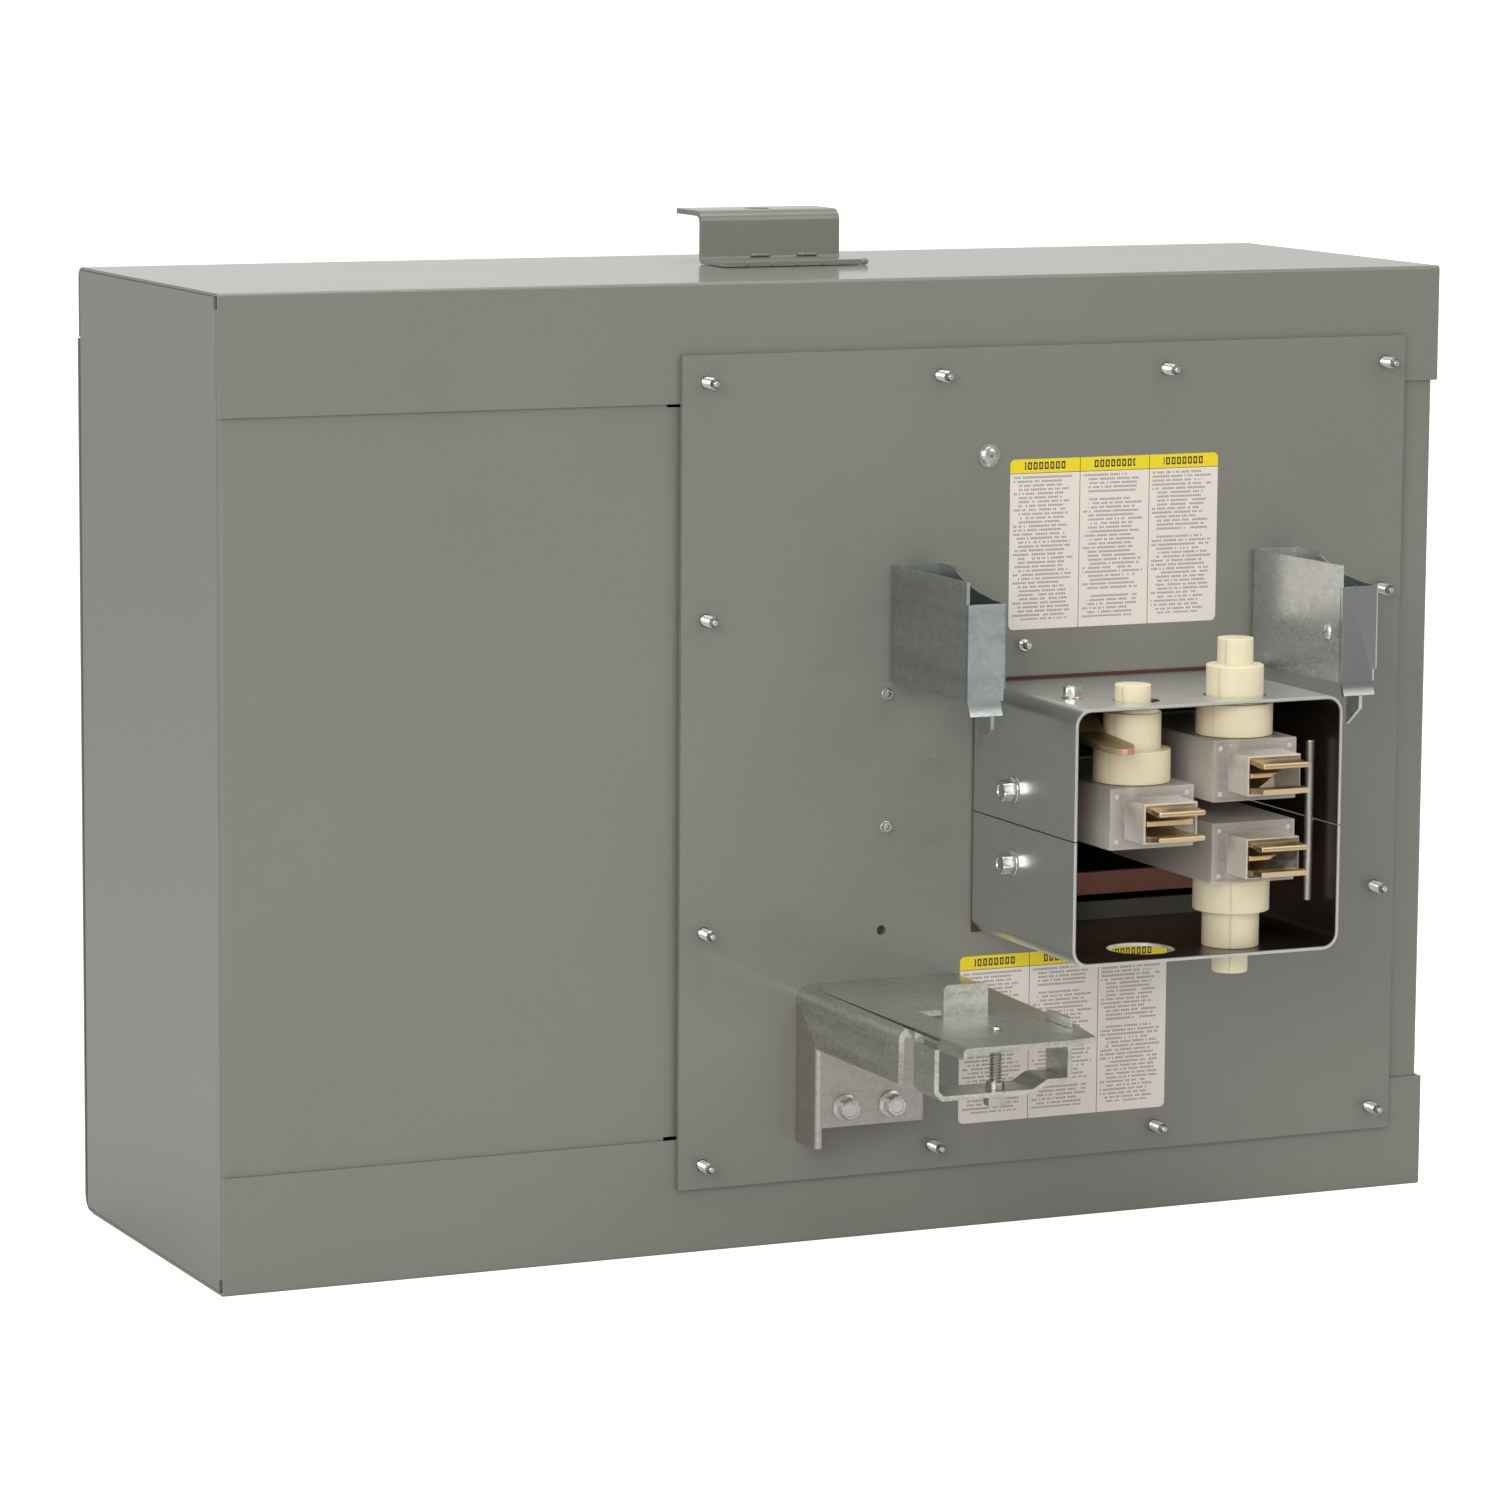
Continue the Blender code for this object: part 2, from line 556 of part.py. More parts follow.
def line_strap(pole, x, z):
    """Copper strap: the middle finger of the jaw, which runs back and across to the breaker."""
    half = FINGER_WIDTH / 2
    lead = (0.020, 0.044)
    end = BREAKER_X[1] - 0.004
    outline = [(x + half, reach(STRAP_TIP)), (x + half, lead[1]), (end, lead[1]), (end, lead[0]),
               (x - half, lead[0]), (x - half, reach(STRAP_TIP))]
    item = place("line_strap_" + pole, prism_mesh("line_strap", outline, "Z", z - STRAP_THICK / 2,
                                                  z + STRAP_THICK / 2), COPPER)
    cut(item, rod_mesh("strap_hole", 0.0038, z - 0.01, z + 0.01, "Z", 12, (x, reach(BOLT_REACH))))
    return item


def jaw_bolt(pole, x, z, side, axis):
    """Nylon-covered jaw bolt: wide collar on the boot, stepped sleeve and steel shank."""
    collar, sleeve, tip = 0.0170, 0.0192, 0.0140
    top = collar + sleeve + tip
    shank = -0.0255
    profile = [(0, top), (0.0086, top), (0.0094, top - 0.0008), (0.0094, collar + sleeve),
               (0.0143, collar + sleeve), (0.0150, collar + sleeve - 0.0008), (0.0150, collar),
               (0.0194, collar), (0.0201, collar - 0.0008), (0.0201, 0), (0.0030, 0), (0.0030, shank),
               (0, shank)]
    seat = z + side * (BOOT[1] / 2 + GAP)
    turn = (0, 0, 0) if side > 0 else (math.pi, 0, 0)
    item = turned("jaw_bolt_" + pole, profile, NYLON, (x, reach(BOLT_REACH), seat), turn, steps=24)
    hang(item, axis)
    return item


def ground_parts():
    """Ground stab hung from the throat, the tie rod, and the ground link across the window."""
    x = (0.0795, 0.0975)
    roof = THROAT_Z[1] - THROAT_STEEL - GAP
    line = [(reach(0.1450), 0.2762), (reach(0.1010), 0.2790), (reach(0.0900), roof - STAB_THICK),
            (reach(0.0660), roof - STAB_THICK)]
    stab = folded("ground_stab", line, "X", x[0], x[1], STAB_THICK, COPPER, radius=0.0040, steps=3)
    stab.modifiers["sheet"].offset = 1
    tip = [(x[0] - 0.01, reach(0.1330)), (x[0], reach(0.1330)), (x[0] + 0.0045, reach(0.1425)),
           (x[0] + 0.0080, reach(0.1449)), (x[1] - 0.0055, reach(0.1440)), (x[1], reach(0.1330)),
           (x[1] + 0.01, reach(0.1330)), (x[1] + 0.01, reach(0.1600)), (x[0] - 0.01, reach(0.1600))]
    cut(stab, prism_mesh("stab_tip", tip, "Z", 0.2600, 0.2900))
    cut(stab, rod_mesh("stab_hole", 0.0030, roof - 0.01, roof + 0.001, "Z", 12, (0.0898, reach(0.0790))))
    place("tie_rod", rod_mesh("tie_rod", 0.0024, 0.1840, 0.2690, "Z", 12, (0.2180, reach(0.1030))), ZINC)
    place("ground_link", block_mesh("ground_link", (0.0400, 0.2520), (0.0080, 0.0110), (0.1735, 0.1860)),
          COPPER)


# ---------------------------------------------------------------- lower clamp
def clamp():
    """Stand-off base, arm plate with its web, and the screw-driven clamp jaw under it."""
    left, right = ARM_X
    inner = left + ARM_STEEL + 0.0005
    back = reach(PLATE_FACE)
    front = reach(BASE_REACH)
    base_right = 0.0320
    low, step = 0.0560, 0.0670
    top = ARM_TOP - ARM_STEEL - GAP
    base = folded("clamp_base", [(left, back), (left, front), (base_right, front), (base_right, back)],
                  "Z", low, top, ARM_STEEL, GALVANIZED, radius=0.0032, steps=3)
    cut(base, block_mesh("base_step", (left + 0.0035, base_right + 0.01), (front - 0.01, back + 0.01),
                         (low - 0.01, step)))
    relief = [(back + 0.01, 0.1291), (back, 0.1291), (front, 0.1086), (front - 0.01, 0.1086),
              (front - 0.01, top + 0.01), (back + 0.01, top + 0.01)]
    cut(base, prism_mesh("base_relief", relief, "X", left - 0.005, inner))
    cut(base, block_mesh("bend_room", (left - 0.005, left + 0.0090), (front - 0.01, back + 0.01),
                         (top - 0.0070, top + 0.01)))
    for x in (-0.0146, 0.0120):
        cut(base, rod_mesh("base_hole", 0.0033, front - 0.01, front + 0.01, "Y", 12, (x, 0.0770)))

    arm = folded("clamp_arm", [(right + 0.003, ARM_TOP), (left, ARM_TOP), (left, 0.1092)],
                 "Y", reach(ARM_REACH), back, ARM_STEEL, GALVANIZED, radius=0.0080, steps=5)
    cut(arm, block_mesh("web_end", (left - 0.01, -0.0280), (reach(ARM_REACH) - 0.01, reach(WEB_END)),
                        (0.09, 0.15)))
    diagonal = [(back + 0.01, 0.1300), (back + 0.01, 0.09), (front + 0.0003, 0.09), (front + 0.0003, 0.1095),
                (back, 0.1300)]
    cut(arm, prism_mesh("web_back", diagonal, "X", left - 0.005, left + ARM_STEEL + 0.004))
    edge = [(right + 0.0025, back + 0.01), (0.0590, reach(0.0470)), (0.0550, reach(0.1250)),
            (0.0545, reach(0.1540)), (0.0480, reach(0.1900)), (0.0320, reach(0.1940)), (0.0320, reach(0.2100)), (0.0900, reach(0.2100)),
            (0.0900, back + 0.01)]
    cut(arm, prism_mesh("arm_edge", edge, "Z", 0.12, 0.15))
    cut(arm, block_mesh("tab_window", (-0.0045, 0.0260), (reach(0.1160), reach(0.0950)), (0.12, 0.15)))
    tab = prism_mesh("tab", tab_outline(), "Y", reach(0.1187), reach(0.1157))
    join(arm, tab)
    for x0, x1 in ((-0.0400, -0.0262), (0.0452, 0.0492)):
        cut(arm, block_mesh("guide_slot", (x0, x1), (reach(CLAMP_REACH[1] + 0.0012),
                                                     reach(CLAMP_REACH[0] - 0.0012)), (0.12, 0.15)))
    bolt_x, bolt_reach = CLAMP_BOLT
    cut(arm, rod_mesh("bolt_thread", 0.0036, 0.12, 0.15, "Z", 16, (bolt_x, reach(bolt_reach))))

    for number, x in enumerate((-0.0146, 0.0120), 1):
        hex_flange_screw("base_screw_%d" % number, 0.0148, 0.0100, 0.0060, 0.0090,
                         (x, front - GAP, 0.0770), (math.pi / 2, 0, 0))

    floor, jog = 0.1064, 0.0045
    outline = [(0.0483, 0.1440), (0.0483, floor + jog), (0.0350, floor + jog), (0.0270, floor), (-0.0250, floor),
               (-0.0293, floor + 0.0043), (-0.0293, 0.1330)]
    jaw_plate = folded("clamp_jaw", outline, "Y", reach(CLAMP_REACH[1]), reach(CLAMP_REACH[0]), CLAMP_STEEL,
                       GALVANIZED, radius=0.0018, steps=2)
    jaw_plate.modifiers["sheet"].offset = 1
    axis = pivot("clamp_axis", (bolt_x, reach(bolt_reach), floor))
    hang(jaw_plate, axis)
    cut(jaw_plate, rod_mesh("jaw_hole", 0.0036, 0.10, 0.12, "Z", 16, (bolt_x, reach(bolt_reach))))
    clamp_bolt(bolt_x, reach(bolt_reach), floor, axis)


def tab_outline():
    """Upright tab of the arm, with rounded top corners."""
    left, right, bottom, top, corner = -0.0020, 0.0232, ARM_TOP - 0.0015, ARM_TOP + 0.0172, 0.0030
    points = [(left, bottom), (right, bottom)]
    for centre_x, start in ((right - corner, 0.0), (left + corner, 90.0)):
        for step in range(4):
            angle = math.radians(start + step * 30)
            points.append((centre_x + corner * math.cos(angle), top - corner + corner * math.sin(angle)))
    return points


def clamp_bolt(x, y, floor, axis):
    """Clamp bolt with a flanged hex head under the jaw and a retaining collar above it."""
    top = ARM_TOP + 0.0016
    collar = floor + CLAMP_STEEL + GAP
    head = floor - GAP
    origin = floor
    shank = 0.00315
    profile = [(0, top), (shank - 0.0006, top), (shank, top - 0.0007), (shank, collar + 0.0036),
               (0.0047, collar + 0.0036), (0.0047, collar), (shank, collar), (shank, head), (0.0070, head),
               (0.0070, head - 0.0012), (0, head - 0.0012)]
    item = turned("clamp_bolt", [(radius, height - origin) for radius, height in profile], ZINC,
                  (x, y, origin), steps=16)
    hang(item, axis)
    join(item, rod_mesh("bolt_hex", 0.0058, head - 0.0062 - origin, head - 0.0008 - origin, sides=6))
    return item


# ---------------------------------------------------------------- door, handle and breaker
def door():
    """Front door pan on its right-hand hinge, with two turn latches and the rotary handle."""
    half = BOX_WIDTH / 2
    inside = DOOR_FACE - SHEET
    panel = folded("front_door", [(DOOR_FACE - DOOR_FLANGE, DOOR_LOW), (DOOR_FACE, DOOR_LOW),
                                  (DOOR_FACE, BOX_HEIGHT - FIXED_BAND - 0.0008)],
                   "X", -half, half, SHEET, PAINT, radius=DOOR_BEND, steps=6)
    hinge = pivot("door_hinge", (*HINGE_AXIS, 0))
    hang(panel, hinge)
    for x in (0.0400 - half, half - 0.0400):
        join(panel, block_mesh("stiffener", (x - SHEET / 2, x + SHEET / 2), (inside - 0.0100, inside + 0.0005),
                               (0.0250, 0.4500)))
    hinge_x, hinge_y = HINGE_AXIS
    leaf_z = (0.100, 0.160), (0.310, 0.370)
    for low, high in leaf_z:
        join(panel, block_mesh("door_leaf", (half - 0.0010, hinge_x), (inside + 0.0001, DOOR_FACE - 0.0001),
                               (low, high)))
        join(panel, rod_mesh("door_knuckle", HINGE_BARREL, low, high, "Z", 16, HINGE_AXIS))
        cut(panel, rod_mesh("pin_bore", 0.0018, low - 0.01, high + 0.01, "Z", 12, HINGE_AXIS))
    for z in LATCH_Z:
        cut(panel, rod_mesh("latch_hole", 0.0062, DOOR_FACE - 0.01, DOOR_FACE + 0.01, "Y", 16, (LATCH_X, z)))
    cut(panel, rod_mesh("handle_hole", 0.0110, DOOR_FACE - 0.01, DOOR_FACE + 0.01, "Y", 20,
                        (HANDLE_X, JAW_Z)))

    for name, (low, high) in zip(("hinge_leaf_lower", "hinge_leaf_upper"), leaf_z):
        span = (low - 0.0240, low - 0.0006)
        leaf = place(name, block_mesh(name, (half + GAP, half + GAP + 0.0016), (hinge_y - 0.0340, hinge_y), span),
                     ZINC)
        join(leaf, rod_mesh("body_knuckle", HINGE_BARREL, *span, "Z", 16, HINGE_AXIS))
        join(leaf, rod_mesh("pin", 0.0015, span[0] + 0.0040, high + 0.0020, "Z", 12, HINGE_AXIS))

    for name, z in zip(("latch_lower", "latch_upper"), LATCH_Z):
        latch(name, z, hinge)
    handle(hinge)


def latch(name, z, hinge):
    """Quarter-turn latch, drawn open: slotted head outside the door, cam clear of the flange."""
    face = DOOR_FACE + GAP
    profile = [(0, face + 0.0050), (0.0085, face + 0.0050), (0.0095, face + 0.0040), (0.0095, face),
               (0.0055, face), (0.0055, DOOR_FACE - SHEET - 0.0012), (0.0038, DOOR_FACE - SHEET - 0.0012),
               (0.0038, BODY_DEPTH - 0.0085), (0, BODY_DEPTH - 0.0085)]
    item = turned(name, [(radius, height - DOOR_FACE) for radius, height in profile], ZINC,
                  (LATCH_X, DOOR_FACE, z), (-math.pi / 2, 0, 0), steps=20)
    hang(item, hinge)
    cut(item, block_mesh("latch_slot", (-0.0012, 0.0012), (-0.02, 0.02), (0.0035, 0.0090)))
    cam = BODY_DEPTH - SHEET - DOOR_FACE - 0.0010
    join(item, block_mesh("latch_cam", (-0.0045, 0.0045), (-0.0160, 0.0050), (cam - 0.0025, cam)))
    return item


def handle(hinge):
    """Rotary operating handle on the door, its drive shaft inside, and the fork on the toggle."""
    face = DOOR_FACE + GAP
    top = DOOR_FACE + HANDLE_REACH
    profile = [(0, top - 0.004), (0.0200, top - 0.004), (0.0225, face + 0.0120), (0.0300, face + 0.0060),
               (0.0300, face), (0.0100, face), (0.0100, DOOR_FACE - 0.0060), (0, DOOR_FACE - 0.0060)]
    item = turned("operating_handle", [(radius, height - DOOR_FACE) for radius, height in profile], MOULDING,
                  (HANDLE_X, DOOR_FACE, JAW_Z), (-math.pi / 2, 0, 0), steps=32)
    hang(item, hinge)
    join(item, block_mesh("grip", (-0.0085, 0.0085), (-0.0620, 0.0300), (0.0120, HANDLE_REACH)))
    cut(item, rod_mesh("lock_hole", 0.0040, -0.02, 0.02, "X", 12, (-0.0530, 0.0220)))

    shaft_end = DOOR_FACE - 0.0068
    fork = BREAKER_Y[1] + 0.0085
    origin = fork
    profile = [(0, shaft_end - origin), (0.0045, shaft_end - origin), (0.0045, 0.0050), (0.0180, 0.0050),
               (0.0180, 0.0020), (0, 0.0020)]
    shaft = turned("operator_shaft", profile, ZINC, (HANDLE_X, origin, JAW_Z), (-math.pi / 2, 0, 0), steps=20)
    return shaft


def breaker():
    """Moulded breaker with its toggle, and the bridge that carries the handle's shaft."""
    z = (JAW_Z - BREAKER_HALF, JAW_Z + BREAKER_HALF)
    case = place("breaker_case", block_mesh("breaker_case", BREAKER_X, BREAKER_Y, z), MOULDING)
    middle = sum(BREAKER_X) / 2
    for pole in POLES.values():
        cut(case, block_mesh("lug_pocket", (BREAKER_X[1] - 0.020, BREAKER_X[1] + 0.01), (0.0150, 0.0500),
                             (pole[1] - 0.0065, pole[1] + 0.0065)))
        cut(case, block_mesh("load_pocket", (BREAKER_X[0] - 0.01, BREAKER_X[0] + 0.016), (0.0200, 0.0450),
                             (pole[1] - 0.0065, pole[1] + 0.0065)))
    cut(case, block_mesh("toggle_slot", (middle - 0.0200, middle + 0.0200), (BREAKER_Y[1] - 0.0120, 0.1),
                         (JAW_Z - 0.0090, JAW_Z + 0.0090)))
    pivot_y = BREAKER_Y[1] - 0.0060
    toggle = place("breaker_toggle", prism_mesh("breaker_toggle", toggle_outline(), "Z", -0.0075, 0.0075), MOULDING,
                   location=(middle, pivot_y, JAW_Z))
    bridge_y = 0.1200
    bridge_z = 0.0300
    bridge = folded("shaft_bridge", [(BREAKER_Y[1] + GAP, JAW_Z - bridge_z), (bridge_y, JAW_Z - bridge_z),
                                     (bridge_y, JAW_Z + bridge_z), (BREAKER_Y[1] + GAP, JAW_Z + bridge_z)],
                    "X", HANDLE_X - 0.0150, HANDLE_X + 0.0150, 0.002, ZINC)
    cut(bridge, rod_mesh("shaft_hole", 0.0052, 0.10, 0.13, "Y", 16, (HANDLE_X, JAW_Z)))
    return case, toggle, bridge


def toggle_outline():
    """Toggle seen along its pivot: a round root with a tapered lever."""
    root = 0.0045
    lever = 0.0125
    points = [(root * math.cos(math.radians(a)), root * math.sin(math.radians(a)))
              for a in range(150, 391, 30)]
    return points + [(0.0026, lever), (-0.0026, lever)]


def build():
    enclosure()
    hanger()
    mounting_plate()
    hook("hook_left", HOOK_X[0], (0.0006, 0.0060))
    hook("hook_right", HOOK_X[1], (0.0050, 0.0028))
    throat()
    for pole in POLES:
        jaw(pole)
    ground_parts()
    clamp()
    door()
    breaker()


build()
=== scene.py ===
import math

import bmesh
import bpy
from mathutils import Matrix, Vector


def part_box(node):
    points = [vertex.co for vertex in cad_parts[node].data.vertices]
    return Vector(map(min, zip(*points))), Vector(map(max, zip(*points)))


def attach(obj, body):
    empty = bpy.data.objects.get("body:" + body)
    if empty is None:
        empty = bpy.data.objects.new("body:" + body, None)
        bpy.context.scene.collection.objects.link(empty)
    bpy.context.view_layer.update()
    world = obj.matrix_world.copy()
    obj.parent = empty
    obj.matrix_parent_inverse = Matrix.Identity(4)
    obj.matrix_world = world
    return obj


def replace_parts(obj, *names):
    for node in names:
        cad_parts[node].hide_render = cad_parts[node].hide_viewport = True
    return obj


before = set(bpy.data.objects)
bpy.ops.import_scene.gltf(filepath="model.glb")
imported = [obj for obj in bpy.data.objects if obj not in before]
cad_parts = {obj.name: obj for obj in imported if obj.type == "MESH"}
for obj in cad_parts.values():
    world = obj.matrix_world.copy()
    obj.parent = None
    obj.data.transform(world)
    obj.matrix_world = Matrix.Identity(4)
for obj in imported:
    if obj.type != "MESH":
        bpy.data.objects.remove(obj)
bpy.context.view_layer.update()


# ------------------------------------------------------------------ room
# A pale, softly glowing floor in an even white surround that is brightest behind the
# unit, with a large soft box on the left, a weaker one on the right, and one overhead.
scene = bpy.context.scene
scene.view_settings.view_transform = "Standard"

camera = bpy.data.objects.new("camera", bpy.data.cameras.new("camera"))
camera.location = (-1.3459, -2.8439, 0.7138)
camera.rotation_euler = (math.radians(81.737), math.radians(-0.409), math.radians(-24.475))
camera.data.lens = 144.3
camera.data.sensor_width = 36
camera.data.clip_end = 60
scene.collection.objects.link(camera)
scene.camera = camera


def put(tree, kind, sockets=None, **settings):
    """Add a node, set its options, and feed its sockets with values or with other sockets."""
    made = tree.nodes.new("ShaderNode" + kind)
    for name, value in settings.items():
        setattr(made, name, value)
    for name, value in (sockets or {}).items():
        if isinstance(value, bpy.types.NodeSocket):
            tree.links.new(value, made.inputs[name])
        else:
            made.inputs[name].default_value = value
    return made


world = bpy.data.worlds.new("surround")
world.use_nodes = True
scene.world = world
sky = world.node_tree
direction = put(sky, "TexCoord")
height = put(sky, "SeparateXYZ", {"Vector": direction.outputs["Generated"]})
lift = put(sky, "MapRange", {"Value": height.outputs["Z"], "From Min": -0.15, "From Max": 0.85,
                             "To Min": 0.36, "To Max": 0.50})
seen = put(sky, "LightPath")
behind = put(sky, "MapRange", {"Value": height.outputs["Y"], "From Min": 0.55, "From Max": 0.95,
                               "To Min": 0.0, "To Max": 0.46})
glow = put(sky, "Math", {0: lift.outputs["Result"], 1: behind.outputs["Result"]}, operation="ADD")
strength = put(sky, "Mix", {"Factor": seen.outputs["Is Camera Ray"], "A": glow.outputs[0], "B": 1.05},
               data_type="FLOAT")
sky.links.new(strength.outputs["Result"], sky.nodes["Background"].inputs["Strength"])
sky.nodes["Background"].inputs["Color"].default_value = (1.0, 0.98, 0.955, 1)


def soft_box(name, place, size, watts, tint=(1, 1, 1)):
    """A square area light that looks at the middle of the unit."""
    light = bpy.data.lights.new(name, "AREA")
    light.size = size
    light.energy = watts
    light.color = tint
    lamp = bpy.data.objects.new(name, light)
    lamp.location = place
    lamp.rotation_euler = (Vector((0, -0.05, 0.25)) - Vector(place)).to_track_quat("-Z", "Y").to_euler()
    scene.collection.objects.link(lamp)


soft_box("right_soft_box", (1.9, -2.4, 2.1), 1.5, 12, (1.0, 0.985, 0.96))
soft_box("left_soft_box", (-2.0, -2.3, 1.4), 1.6, 37, (1.0, 0.98, 0.94))
soft_box("top_soft_box", (0.1, -0.2, 2.9), 1.8, 30, (1.0, 0.96, 0.91))

floor_mesh = bpy.data.meshes.new("floor")
floor_shape = bmesh.new()
bmesh.ops.create_grid(floor_shape, x_segments=1, y_segments=1, size=14)
floor_shape.to_mesh(floor_mesh)
floor_shape.free()
floor = bpy.data.objects.new("floor", floor_mesh)
scene.collection.objects.link(floor)
pale = bpy.data.materials.new("pale_floor")
pale.use_nodes = True
grit = put(pale.node_tree, "TexNoise", {"Scale": 3.0, "Detail": 3.0})
tone = put(pale.node_tree, "MapRange", {"Value": grit.outputs["Fac"], "To Min": 0.60, "To Max": 0.64})
pale_shader = pale.node_tree.nodes["Principled BSDF"]
pale.node_tree.links.new(tone.outputs["Result"], pale_shader.inputs["Base Color"])
pale_shader.inputs["Roughness"].default_value = 0.9
pale_shader.inputs["Emission Color"].default_value = (1.0, 0.995, 0.985, 1)
looked_at = put(pale.node_tree, "LightPath").outputs["Is Camera Ray"]
shine = put(pale.node_tree, "MapRange", {"Value": looked_at, "To Min": 0.12, "To Max": 0.95})
pale.node_tree.links.new(shine.outputs["Result"], pale_shader.inputs["Emission Strength"])
floor_mesh.materials.append(pale)


# ------------------------------------------------------------------ enclosure shell
# Sixteen gauge sheet steel, folded, spot welded and sprayed with a grey enamel that
# dries to a light orange peel.  The caps lap over the wrapper on the busway side.
def effect_group(name, inputs, outputs):
    """A shader node group with named number inputs and outputs, and its two end nodes."""
    group = bpy.data.node_groups.new(name, "ShaderNodeTree")
    for label, value in inputs.items():
        socket = group.interface.new_socket(label, in_out="INPUT", socket_type="NodeSocketFloat")
        socket.default_value = value
    for label in outputs:
        group.interface.new_socket(label, in_out="OUTPUT", socket_type="NodeSocketFloat")
    return group, group.nodes.new("NodeGroupInput"), group.nodes.new("NodeGroupOutput")


def enamel_skin():
    """Orange peel height, slow mottling and settled dust for sprayed enamel."""
    group, given, result = effect_group("enamel_skin", {"Peel Scale": 900.0, "Mottle Scale": 14.0},
                                        ("Height", "Mottle", "Dust"))
    where = put(group, "TexCoord").outputs["Object"]
    peel = put(group, "TexNoise", {"Vector": where, "Scale": given.outputs["Peel Scale"], "Detail": 2.0})
    swell = put(group, "TexNoise", {"Vector": where, "Scale": 55.0, "Detail": 1.0})
    waves = put(group, "Math", {0: swell.outputs["Fac"], 1: 2.5}, operation="MULTIPLY")
    both = put(group, "Math", {0: peel.outputs["Fac"], 1: waves.outputs[0]}, operation="ADD")
    mottle = put(group, "TexNoise", {"Vector": where, "Scale": given.outputs["Mottle Scale"], "Detail": 4.0,
                                     "Roughness": 0.55})
    specks = put(group, "TexNoise", {"Vector": where, "Scale": 2600.0, "Detail": 1.0})
    dust = put(group, "MapRange", {"Value": specks.outputs["Fac"], "From Min": 0.70, "From Max": 0.80})
    group.links.new(both.outputs[0], result.inputs["Height"])
    group.links.new(mottle.outputs["Fac"], result.inputs["Mottle"])
    group.links.new(dust.outputs["Result"], result.inputs["Dust"])
    return group


def handling_marks():
    """Fine scratches and rubbed patches from handling, as a mask."""
    group, given, result = effect_group("handling_marks", {"Scale": 60.0, "Coverage": 0.5},
                                        ("Scratch", "Rub"))
    where = put(group, "TexCoord").outputs["Object"]
    masks = []
    for turn in ((0.3, 0.9, 0.5), (1.2, 0.2, 2.0)):
        aim = put(group, "Mapping", {"Vector": where, "Rotation": turn, "Scale": (1.0, 14.0, 1.0)})
        line = put(group, "TexNoise", {"Vector": aim.outputs["Vector"], "Scale": given.outputs["Scale"],
                                       "Detail": 5.0, "Roughness": 0.75})
        fine = put(group, "MapRange", {"Value": line.outputs["Fac"], "From Min": 0.66, "From Max": 0.74})
        masks.append(fine.outputs["Result"])
    either = put(group, "Math", {0: masks[0], 1: masks[1]}, operation="MAXIMUM")
    scaled = put(group, "Math", {0: either.outputs[0], 1: given.outputs["Coverage"]}, operation="MULTIPLY")
    rub = put(group, "TexNoise", {"Vector": where, "Scale": 22.0, "Detail": 6.0, "Roughness": 0.65})
    rubbed = put(group, "MapRange", {"Value": rub.outputs["Fac"], "From Min": 0.35, "From Max": 0.72})
    group.links.new(scaled.outputs[0], result.inputs["Scratch"])
    group.links.new(rubbed.outputs["Result"], result.inputs["Rub"])
    return group


ENAMEL_SKIN = enamel_skin()
HANDLING_MARKS = handling_marks()


def blank_finish(name):
    """A new Principled material with its tree and its shader."""
    material = bpy.data.materials.new(name)
    material.use_nodes = True
    tree = material.node_tree
    return material, tree, tree.nodes["Principled BSDF"]


def place_group(tree, group, **values):
    """One use of a shared effect, with its own values."""
    made = tree.nodes.new("ShaderNodeGroup")
    made.node_tree = group
    for name, value in values.items():
        made.inputs[name.replace("_", " ")].default_value = value
    return made


def blend_colours(tree, mask, first, second):
    """The colour output of a mix between two colours (or colour sockets) by a mask."""
    mix = put(tree, "Mix", data_type="RGBA")
    tree.links.new(mask, mix.inputs[0])
    for socket, value in ((mix.inputs[6], first), (mix.inputs[7], second)):
        if isinstance(value, bpy.types.NodeSocket):
            tree.links.new(value, socket)
        else:
            socket.default_value = (*value, 1)
    return mix.outputs[2]


def spread(tree, value, low, high):
    """A 0 to 1 value mapped between two ends."""
    return put(tree, "MapRange", {"Value": value, "To Min": low, "To Max": high}).outputs["Result"]


def raise_surface(tree, shader, height, strength, distance):
    """Bump from a height, into the shader's normal."""
    bump = put(tree, "Bump", {"Height": height, "Strength": strength, "Distance": distance})
    tree.links.new(bump.outputs["Normal"], shader.inputs["Normal"])


def grey_enamel():
    material, tree, shader = blank_finish("grey_enamel")
    skin = place_group(tree, ENAMEL_SKIN, Peel_Scale=850.0, Mottle_Scale=11.0)
    marks = place_group(tree, HANDLING_MARKS, Scale=38.0, Coverage=0.35)
    body = blend_colours(tree, skin.outputs["Mottle"], (0.213, 0.215, 0.192), (0.236, 0.237, 0.213))
    dusty = blend_colours(tree, skin.outputs["Dust"], body, (0.30, 0.30, 0.28))
    tree.links.new(dusty, shader.inputs["Base Color"])
    worn = put(tree, "Math", {0: spread(tree, skin.outputs["Mottle"], 0.27, 0.37),
                              1: spread(tree, marks.outputs["Scratch"], 0.0, 0.10)}, operation="ADD")
    tree.links.new(worn.outputs[0], shader.inputs["Roughness"])
    shader.inputs["Coat Weight"].default_value = 0.55
    shader.inputs["Coat Roughness"].default_value = 0.09
    raise_surface(tree, shader, skin.outputs["Height"], 0.10, 0.0003)
    return material


GREY_ENAMEL = grey_enamel()


